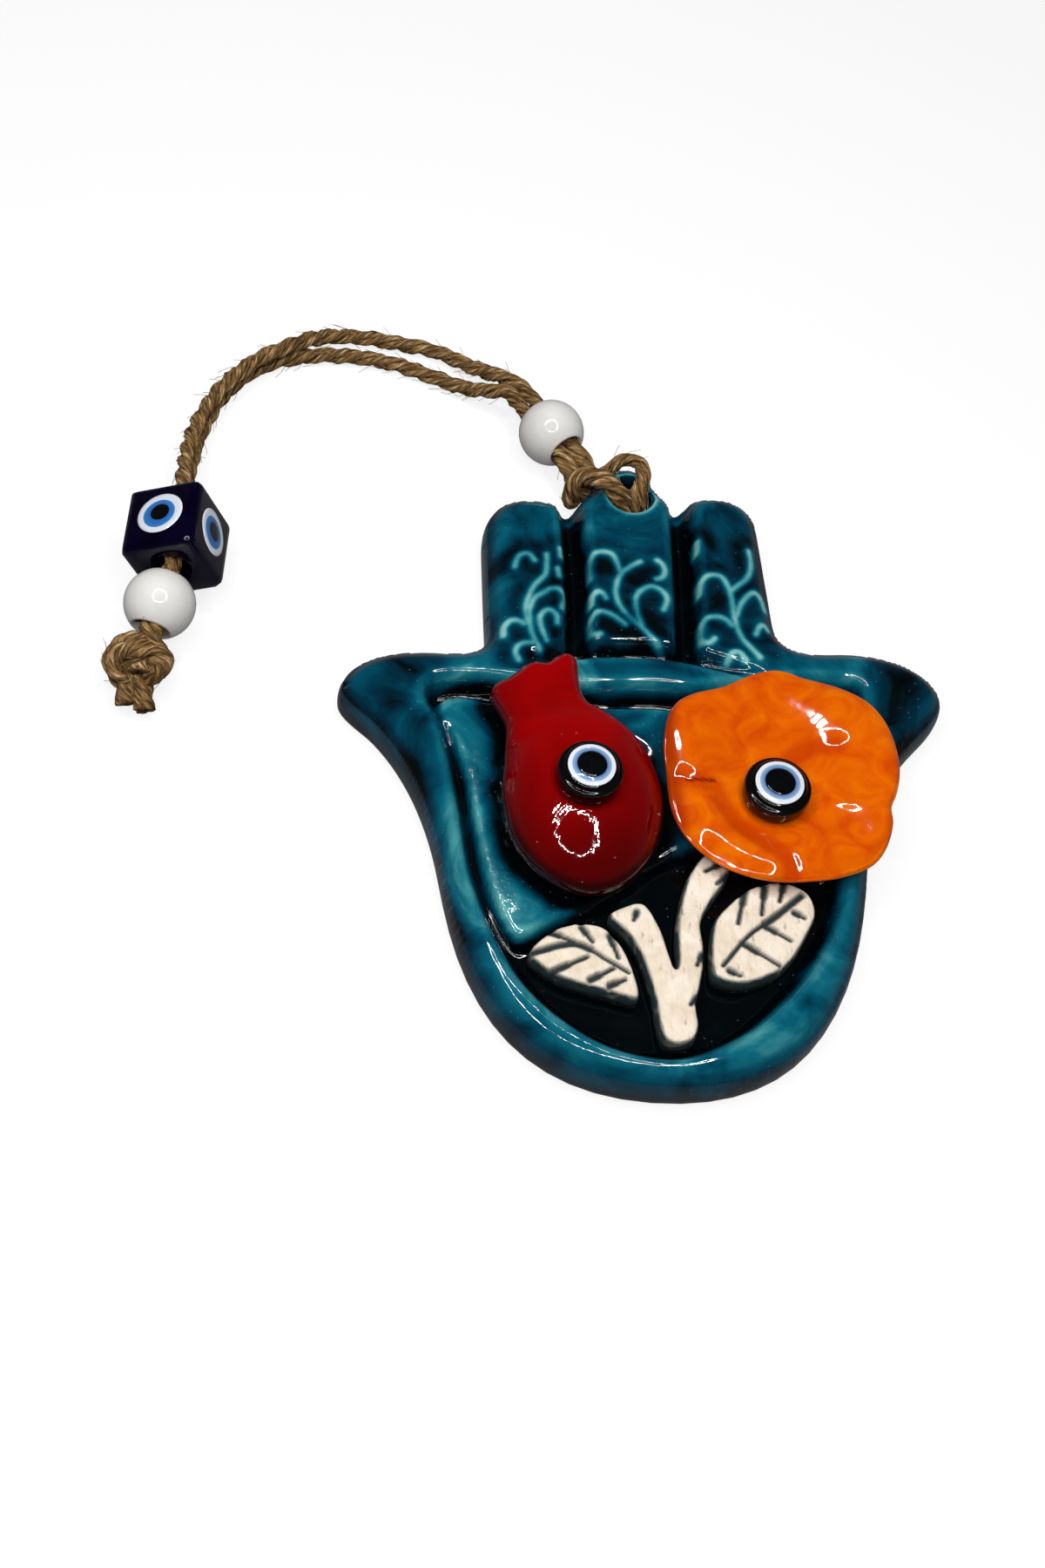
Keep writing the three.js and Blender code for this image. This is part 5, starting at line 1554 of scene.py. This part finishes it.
def red_glaze():
    """Clear deep red, with painted shade towards the foot, the left side and the lower end, and a
    few specks of dust.
    """
    material, tree, shader = new_finish("red_glaze", Roughness=0.04, IOR=1.5)
    cloud = drift(tree, 80.0)["Cloud"]
    colour = ramp(tree, cloud, [
        (0.25, srgb(128, 0, 1)), (0.5, srgb(148, 0, 2)), (0.75, srgb(162, 0, 4))])
    # painted shade: the run mask darkens the red
    colour = mixed(tree, attribute(tree, "run"), colour, srgb(34, 0, 1))
    colour = tinted(tree, colour, specks(tree, 420.0, 0.07), 0.5, srgb(190, 90, 90))
    tree.links.new(colour, shader.inputs["Base Color"])
    bumped(tree, shader, cloud, 0.5, 0.0008)
    return material


def orange_glaze():
    """Orange with painted shade in the folds, darker red-brown towards the left edge, and dark in
    the tear.
    """
    material, tree, shader = new_finish("orange_glaze", Roughness=0.05, IOR=1.5)
    cloud = drift(tree, 130.0, 1.6)["Cloud"]
    colour = ramp(tree, cloud, [
        (0.3, srgb(212, 74, 0)), (0.5, srgb(228, 96, 0)), (0.7, srgb(236, 116, 0))])
    # painted shade: the folds darken towards red
    colour = tinted(tree, colour, attribute(tree, "fold"), 0.7, srgb(196, 52, 0))
    # darker red-brown towards the left edge
    colour = tinted(tree, colour, attribute(tree, "edge"), 0.75, srgb(150, 26, 2))
    colour = mixed(tree, attribute(tree, "tear"), colour, srgb(120, 14, 4))
    tree.links.new(colour, shader.inputs["Base Color"])
    bumped(tree, shader, cloud, 0.04, 0.0004)
    return material


def clay_creases(tree):
    """Slanting wrinkles of pressed clay: their height, and a mask of the deepest creases."""
    where = add_node(tree, "ShaderNodeTexCoord")
    laid = add_node(tree, "ShaderNodeMapping", {
        "Vector": where.outputs["Object"], "Rotation": (0.0, 0.0, math.radians(35)),
        "Scale": (1.0, 0.3, 0.6)})
    wrinkles = add_node(tree, "ShaderNodeTexNoise", {
        "Vector": laid.outputs["Vector"], "Scale": 900.0, "Detail": 4.0, "Roughness": 0.65})
    low = maths(tree, "SUBTRACT", 0.4, wrinkles.outputs["Fac"])
    return wrinkles.outputs["Fac"], maths(tree, "MULTIPLY", low, 9.0, clamp=True)


def bare_clay():
    """Pale wrinkled clay, with glaze left at its border and in its cuts."""
    material, tree, shader = new_finish("bare_clay", Roughness=0.85)
    cloud = drift(tree, 260.0)["Cloud"]
    colour = ramp(tree, cloud, [
        (0.3, srgb(232, 214, 190)), (0.55, srgb(246, 232, 212)), (0.75, srgb(252, 242, 228))])
    wrinkles, crease = clay_creases(tree)
    colour = tinted(tree, colour, crease, 0.7, srgb(140, 118, 94))
    edge = maths(tree, "MULTIPLY", attribute(tree, "border"), cloud)
    edge = maths(tree, "MULTIPLY", edge, 2.2, clamp=True)
    colour = mixed(tree, edge, colour, srgb(40, 62, 66))
    colour = mixed(tree, attribute(tree, "cut"), colour, srgb(24, 40, 44))
    tree.links.new(colour, shader.inputs["Base Color"])
    bumped(tree, shader, wrinkles, 0.7, 0.0009)
    return material


# %% Glass and jute


def eye_glass(name, inner, outer, milk=0.16):
    """Poured glass whose colour runs from a ring's inner edge to its outer edge."""
    material, tree, shader = new_finish(name, Roughness=0.06, IOR=1.5)
    cloud = drift(tree, 900.0)["Cloud"]
    colour = ramp(tree, attribute(tree, "across"), [(0.0, inner), (1.0, outer)])
    colour = tinted(tree, colour, cloud, milk, srgb(120, 130, 140))
    tree.links.new(colour, shader.inputs["Base Color"])
    return material


def dark_glass(name, low, high):
    """Near-black cast glass with a faint cloud of its colour."""
    return clouded(name, 200.0, low, high, reach=0.75, skin=("Cloud", 0.05, 0.0003),
                   Roughness=0.08, IOR=1.4)


def jute():
    """Fibres drawn out along the yarn, with painted shade in the creases between yarns."""
    material, tree, shader = new_finish("jute_yarn", Roughness=0.9, Specular_IOR_Level=0.2)
    where = add_node(tree, "ShaderNodeUVMap", uv_map="UVMap")
    laid = add_node(tree, "ShaderNodeMapping", {"Vector": where.outputs["UV"],
                                                "Scale": (0.35, 8.0, 1.0)})
    fibres = add_node(tree, "ShaderNodeTexNoise", {"Vector": laid.outputs["Vector"], "Scale": 1.0,
                                                   "Detail": 3.0, "Roughness": 0.7})
    colour = ramp(tree, fibres.outputs["Fac"], [
        (0.36, srgb(54, 35, 14)), (0.47, srgb(128, 94, 52)), (0.57, srgb(172, 135, 86)),
        (0.68, srgb(232, 206, 164))])
    # painted shade: where the crest is low, between yarns, the colour darkens
    low = maths(tree, "SUBTRACT", 0.62, attribute(tree, "crest"), clamp=True)
    shade = maths(tree, "MULTIPLY", low, 1.5, clamp=True)
    colour = mixed(tree, shade, colour, srgb(48, 30, 14))
    tree.links.new(colour, shader.inputs["Base Color"])
    bumped(tree, shader, fibres.outputs["Fac"], 1.0, 0.0008)
    return material


FINISH = {
    "teal_glaze": teal_glaze(),
    "bisque": bare_clay(),
    "red_glaze": red_glaze(),
    "orange_glaze": orange_glaze(),
    "porcelain": clouded("white_porcelain", 150.0, srgb(226, 224, 220), srgb(238, 237, 234),
                         skin=("Cloud", 0.06, 0.0003), Roughness=0.05, IOR=1.5),
    "jute": jute(),
    "fibre": clouded("stray_fibre", 700.0, srgb(120, 88, 50), srgb(205, 172, 122), Roughness=0.8),
    "glue": clouded("set_glue", 300.0, srgb(160, 150, 125), srgb(190, 182, 160), Roughness=0.3),
    "black_glass": dark_glass("black_glass", srgb(3, 3, 4), srgb(12, 11, 13)),
    "cobalt_glass": dark_glass("cobalt_glass", srgb(2, 0, 14), srgb(6, 2, 34)),
    "white_glass": eye_glass("white_glass", srgb(226, 234, 246), srgb(240, 243, 248)),
    "blue_glass": eye_glass("blue_glass", srgb(72, 112, 172), srgb(150, 182, 218)),
    "cube_blue": eye_glass("cube_blue_glass", srgb(34, 104, 182), srgb(60, 134, 204), milk=0.08),
    "pupil": eye_glass("pupil_glass", srgb(4, 4, 6), srgb(3, 3, 5), milk=0.01)}
print("finishes:", len(FINISH))

# %% [markdown]
# ## Stray fibres
# Jute is hairy, and its outline looks wrong without loose fibres. They repeat along the cord, so a
# Geometry Nodes tree scatters one thin curved fibre along a route: points by length, each turned
# by a seeded random angle. The result is turned into a plain mesh.

# %% Fibre tree


def fibre_tree():
    """Fibres on points along a curve, with named sizes and a seed."""
    tree = bpy.data.node_groups.new("stray_fibres", "GeometryNodeTree")
    face = tree.interface
    face.new_socket("Geometry", in_out="INPUT", socket_type="NodeSocketGeometry")
    for key, value in (("Spacing", 0.0008), ("Thickness", 0.00005), ("Start", 0.0011)):
        face.new_socket(key, in_out="INPUT", socket_type="NodeSocketFloat").default_value = value
    face.new_socket("Seed", in_out="INPUT", socket_type="NodeSocketInt").default_value = 1
    face.new_socket("Geometry", in_out="OUTPUT", socket_type="NodeSocketGeometry")
    given = tree.nodes.new("NodeGroupInput")
    result = tree.nodes.new("NodeGroupOutput")
    spots = add_node(tree, "GeometryNodeCurveToPoints", {
        "Curve": given.outputs["Geometry"], "Length": given.outputs["Spacing"]}, mode="LENGTH")
    root = add_node(tree, "ShaderNodeCombineXYZ", {"X": given.outputs["Start"]})
    line = add_node(tree, "GeometryNodeCurveQuadraticBezier", {
        "Resolution": 5, "Start": root.outputs[0], "Middle": (0.0017, 0.0002, 0.0011),
        "End": (0.0018, 0.0005, 0.0028)})
    section = add_node(tree, "GeometryNodeCurvePrimitiveCircle", {
        "Resolution": 3, "Radius": given.outputs["Thickness"]}, mode="RADIUS")
    fibre = add_node(tree, "GeometryNodeCurveToMesh", {
        "Curve": line.outputs["Curve"], "Profile Curve": section.outputs["Curve"],
        "Fill Caps": True})
    swing = add_node(tree, "FunctionNodeRandomValue", {
        0: (-0.5, -0.5, 0.0), 1: (0.5, 0.5, 6.283), "Seed": given.outputs["Seed"]},
        data_type="FLOAT_VECTOR")
    turn = add_node(tree, "FunctionNodeEulerToRotation", {0: swing.outputs["Value"]})
    facing = add_node(tree, "FunctionNodeRotateRotation", {
        "Rotation": spots.outputs["Rotation"], "Rotate By": turn.outputs[0]},
        rotation_space="LOCAL")
    length = add_node(tree, "FunctionNodeRandomValue", {
        2: 0.75, 3: 1.15, "Seed": given.outputs["Seed"]}, data_type="FLOAT")
    laid = add_node(tree, "GeometryNodeInstanceOnPoints", {
        "Points": spots.outputs["Points"], "Instance": fibre.outputs["Mesh"],
        "Rotation": facing.outputs["Rotation"], "Scale": length.outputs[1]})
    solid = add_node(tree, "GeometryNodeRealizeInstances", {"Geometry": laid.outputs["Instances"]})
    dressed = add_node(tree, "GeometryNodeSetMaterial", {
        "Geometry": solid.outputs["Geometry"], "Material": FINISH["fibre"]})
    tree.links.new(dressed.outputs["Geometry"], result.inputs["Geometry"])
    return tree


FIBRES = fibre_tree()
INPUT_ID = {item.name: item.identifier for item in FIBRES.interface.items_tree
            if item.in_out == "INPUT"}


def stray_fibres(name, path, spacing, seed, start=1.1):
    """Loose fibres along a route in millimetres, as a plain mesh."""
    curve = bpy.data.curves.new(name + "_line", "CURVE")
    curve.dimensions = "3D"
    spline = curve.splines.new("POLY")
    spline.points.add(len(path) - 1)
    flat = np.column_stack([np.asarray(path) * MM, np.ones(len(path))]).ravel()
    spline.points.foreach_set("co", flat)
    guide = bpy.data.objects.new(name + "_line", curve)
    bpy.context.collection.objects.link(guide)
    modifier = guide.modifiers.new("fibres", "NODES")
    modifier.node_group = FIBRES
    modifier[INPUT_ID["Spacing"]] = spacing * MM
    modifier[INPUT_ID["Start"]] = start * MM
    modifier[INPUT_ID["Seed"]] = seed
    ready = guide.evaluated_get(bpy.context.evaluated_depsgraph_get())
    mesh = bpy.data.meshes.new_from_object(ready)
    mesh.name = name
    for vertex in mesh.vertices:
        vertex.co.z = max(vertex.co.z, 0.0)
    bpy.data.objects.remove(guide)
    piece = bpy.data.objects.new(name, mesh)
    bpy.context.collection.objects.link(piece)
    return piece


FIBRE_STEP = 0.8
STEPS_IN_BEAD = 14


def open_route(route):
    """A strand's route from where it leaves the top bead."""
    return evened(route, FIBRE_STEP)[0][STEPS_IN_BEAD:]


cord_fibres = [
    stray_fibres("cord_fibres_outer", open_route(outer_route), spacing=0.7, seed=5),
    stray_fibres("cord_fibres_inner", open_route(inner_route), spacing=0.7, seed=6),
    stray_fibres("knot_fibres", np.vstack(knot_pair()), spacing=0.9, seed=9, start=1.3)]
hitch_fibres = stray_fibres("hitch_fibres", hitch_route, spacing=1.0, seed=12, start=1.3)
print("fibre faces:", [len(o.data.polygons) for o in cord_fibres])

# %% [markdown]
# ## Hand everything to the frame
# Each piece takes a finish, rides on the body that carries it and stands for the solids it
# replaces. The hitch crosses the cord's swing, so it rides on no body and keeps its place.

# %% Dress and ride


def coat(piece, finish):
    """One finish in place of whatever a piece wore."""
    piece.data.materials.clear()
    piece.data.materials.append(FINISH[finish])


def dress(piece, finish, body, slot, *nodes):
    """Finish, body and replaced solids of one piece; the slot is not used."""
    coat(piece, finish)
    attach(piece, body)
    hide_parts(*nodes)


for piece, finish, node in (
        (hand, "teal_glaze", "hamsa_plaque"), (stem, "bisque", "stem"),
        (left_leaf, "bisque", "left_leaf"), (right_leaf, "bisque", "right_leaf"),
        (pomegranate, "red_glaze", "pomegranate"), (flower, "orange_glaze", "flower")):
    dress(piece, finish, "plaque", finish, node)
LAYER_FINISH = {"": "black_glass", "_white": "white_glass", "_blue": "blue_glass",
                "_pupil": "pupil"}
LAYER_SLOT = {**LAYER_FINISH, "_pupil": "black_glass"}
for node, pieces in (("pomegranate_eye", fruit_eye), ("flower_eye", flower_eye)):
    for layer, piece in pieces.items():
        dress(piece, LAYER_FINISH[layer], "plaque", LAYER_SLOT[layer], node + layer)
dress(top_bead, "porcelain", "top_bead", "porcelain", "top_bead")
dress(bottom_bead, "porcelain", "bottom_bead", "porcelain", "bottom_bead")
dress(cube, "cobalt_glass", "cube_bead", "cobalt_glass", "cube_bead")
CUBE_FINISH = {"white": "white_glass", "blue": "cube_blue", "pupil": "pupil"}
for side, pieces in enumerate(cube_eyes):
    for layer, piece in pieces.items():
        dress(piece, CUBE_FINISH[layer], "cube_bead", LAYER_SLOT["_" + layer],
              f"cube_eye_{side + 1}_{layer}")
for node in ("pomegranate_glue", "flower_glue", "pomegranate_eye_glue", "flower_eye_glue"):
    coat(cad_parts[node], "glue")

# %% Cords to the frame
for piece, node in ((outer_strand, "cord_strand_1"), (inner_strand, "cord_strand_2"),
                    (knot, "end_knot"), (cut_ends["left"], "cut_end_1"),
                    (cut_ends["right"], "cut_end_2")):
    dress(piece, "jute", "hanging_cord", "jute", node)
for piece in cord_fibres:
    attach(piece, "hanging_cord")
coat(hitch, "jute")
for piece in (hitch, hitch_fibres):
    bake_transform(piece)
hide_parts("cord_hitch", "neck_strand_1", "neck_strand_2")
strung = [top_bead, bottom_bead, cube, knot, *cut_ends.values()]
strung += [piece for pieces in cube_eyes for piece in pieces.values()]
print("pieces strung on the outer strand:", len(strung))

# %% [markdown]
# ## Light and floor
# The white beads show a thin bright circle, so the object was lit by a ring lamp straight above
# it. A ring of small area lights gives the same outlined highlights on every glazed slope. The
# floor glows white to the camera and through glass, and still takes a soft shadow. Reflections see
# only a share of it, so it doesn't wash out the dark glaze. Under the middle fingertip the floor
# is shaded, because the hanging hole looks dark inside.

# %% Lights
RING_LAMPS = 32
RING_RADIUS = 0.135
RING_HEIGHT = 0.34
RING_POWER = 1.6
RING_MIDDLE = np.array([-0.06, -0.05, RING_HEIGHT])
LAMP_FILL = 0.62
LAMP_DEPTH = 0.007
ROOM_GLOW = [(0.1, 0.08), (0.3, 0.05), (0.6, 0.03)]
BACKDROP = 0.84


def grey(value):
    """A neutral colour."""
    return (value, value, value, 1.0)


for count in range(RING_LAMPS):
    turn = FULL_TURN * count / RING_LAMPS
    lamp = bpy.data.lights.new(f"ring_lamp_{count + 1}", "AREA")
    lamp.shape = "RECTANGLE"
    lamp.size = LAMP_FILL * FULL_TURN * RING_RADIUS / RING_LAMPS
    lamp.size_y = LAMP_DEPTH
    lamp.energy = RING_POWER / RING_LAMPS
    holder = bpy.data.objects.new(lamp.name, lamp)
    holder.location = RING_MIDDLE + RING_RADIUS * np.array([math.cos(turn), math.sin(turn), 0])
    holder.rotation_euler = (0, 0, turn + math.pi / 2)
    bpy.context.collection.objects.link(holder)
print("lamps in the ring:", RING_LAMPS)

world = bpy.data.worlds.new("dim_room")
world.use_nodes = True
bpy.context.scene.world = world
room = world.node_tree
heading = add_node(room, "ShaderNodeTexCoord")
height = add_node(room, "ShaderNodeSeparateXYZ", {"Vector": heading.outputs["Generated"]})
glow = ramp(room, height.outputs["Z"], [(level, grey(value)) for level, value in ROOM_GLOW])
sight = add_node(room, "ShaderNodeLightPath")
backdrop = mixed(room, sight.outputs["Is Camera Ray"], glow, grey(BACKDROP))
room.links.new(backdrop, room.nodes["Background"].inputs["Color"])

# %% Floor
FLOOR_HALF = 3.0
FLOOR_LEVEL = -0.0002
PAPER_BOUNCE = 0.3
PAPER_IN_GLAZE = 0.07
PAPER_SEEN = 0.22
PAPER_GLOW = 0.82
GLAZE_SHARE = 0.12
TIP_SHADE = [("X", -5.2, -3.2), ("X", 7.0, 4.8), ("Y", 48.0, 51.0), ("Y", 64.0, 60.6)]


def tip_shade(tree):
    """A soft-edged dark patch under the fingertip, each side from clear to dark in millimetres."""
    where = add_node(tree, "ShaderNodeNewGeometry")
    spot = add_node(tree, "ShaderNodeSeparateXYZ", {"Vector": where.outputs["Position"]})
    shade = 1.0
    for axis, clear, dark in TIP_SHADE:
        edge = add_node(tree, "ShaderNodeMapRange", {
            "Value": spot.outputs[axis], "From Min": clear * MM, "From Max": dark * MM},
            interpolation_type="SMOOTHSTEP")
        shade = maths(tree, "MULTIPLY", shade, edge.outputs["Result"])
    return shade


def white_paper():
    """Paper that shows itself by the kind of ray that meets it."""
    paper, tree, shader = new_finish("white_paper", Roughness=0.9, Base_Color=grey(PAPER_BOUNCE))
    ray = add_node(tree, "ShaderNodeLightPath").outputs
    reflected = maths(tree, "MULTIPLY", ray["Is Glossy Ray"], GLAZE_SHARE)
    seen = maths(tree, "MAXIMUM", ray["Is Camera Ray"], ray["Is Transmission Ray"])
    seen = maths(tree, "MAXIMUM", seen, reflected)
    open_floor = maths(tree, "SUBTRACT", 1.0, tip_shade(tree))
    glow = maths(tree, "MULTIPLY", open_floor, PAPER_GLOW)
    faint = add_node(tree, "ShaderNodeBsdfDiffuse", {"Color": grey(PAPER_SEEN)})
    white = add_node(tree, "ShaderNodeEmission", {"Color": grey(1.0), "Strength": glow})
    lit = add_node(tree, "ShaderNodeAddShader", {0: faint.outputs[0], 1: white.outputs[0]})
    dim = add_node(tree, "ShaderNodeBsdfDiffuse", {"Color": grey(PAPER_IN_GLAZE)})
    unseen = add_node(tree, "ShaderNodeMixShader", {
        0: ray["Is Glossy Ray"], 1: shader.outputs[0], 2: dim.outputs[0]})
    both = add_node(tree, "ShaderNodeMixShader", {0: seen, 1: unseen.outputs[0], 2: lit.outputs[0]})
    tree.links.new(both.outputs[0], tree.nodes["Material Output"].inputs["Surface"])
    return paper


corners = [(-FLOOR_HALF, -FLOOR_HALF), (FLOOR_HALF, -FLOOR_HALF), (FLOOR_HALF, FLOOR_HALF),
           (-FLOOR_HALF, FLOOR_HALF)]
floor_mesh = bpy.data.meshes.new("floor")
floor_mesh.from_pydata([(x, y, FLOOR_LEVEL) for x, y in corners], [], [[0, 1, 2, 3]])
floor_mesh.materials.append(white_paper())
ground = bpy.data.objects.new("floor", floor_mesh)
bpy.context.collection.objects.link(ground)
print("floor at", FLOOR_LEVEL)
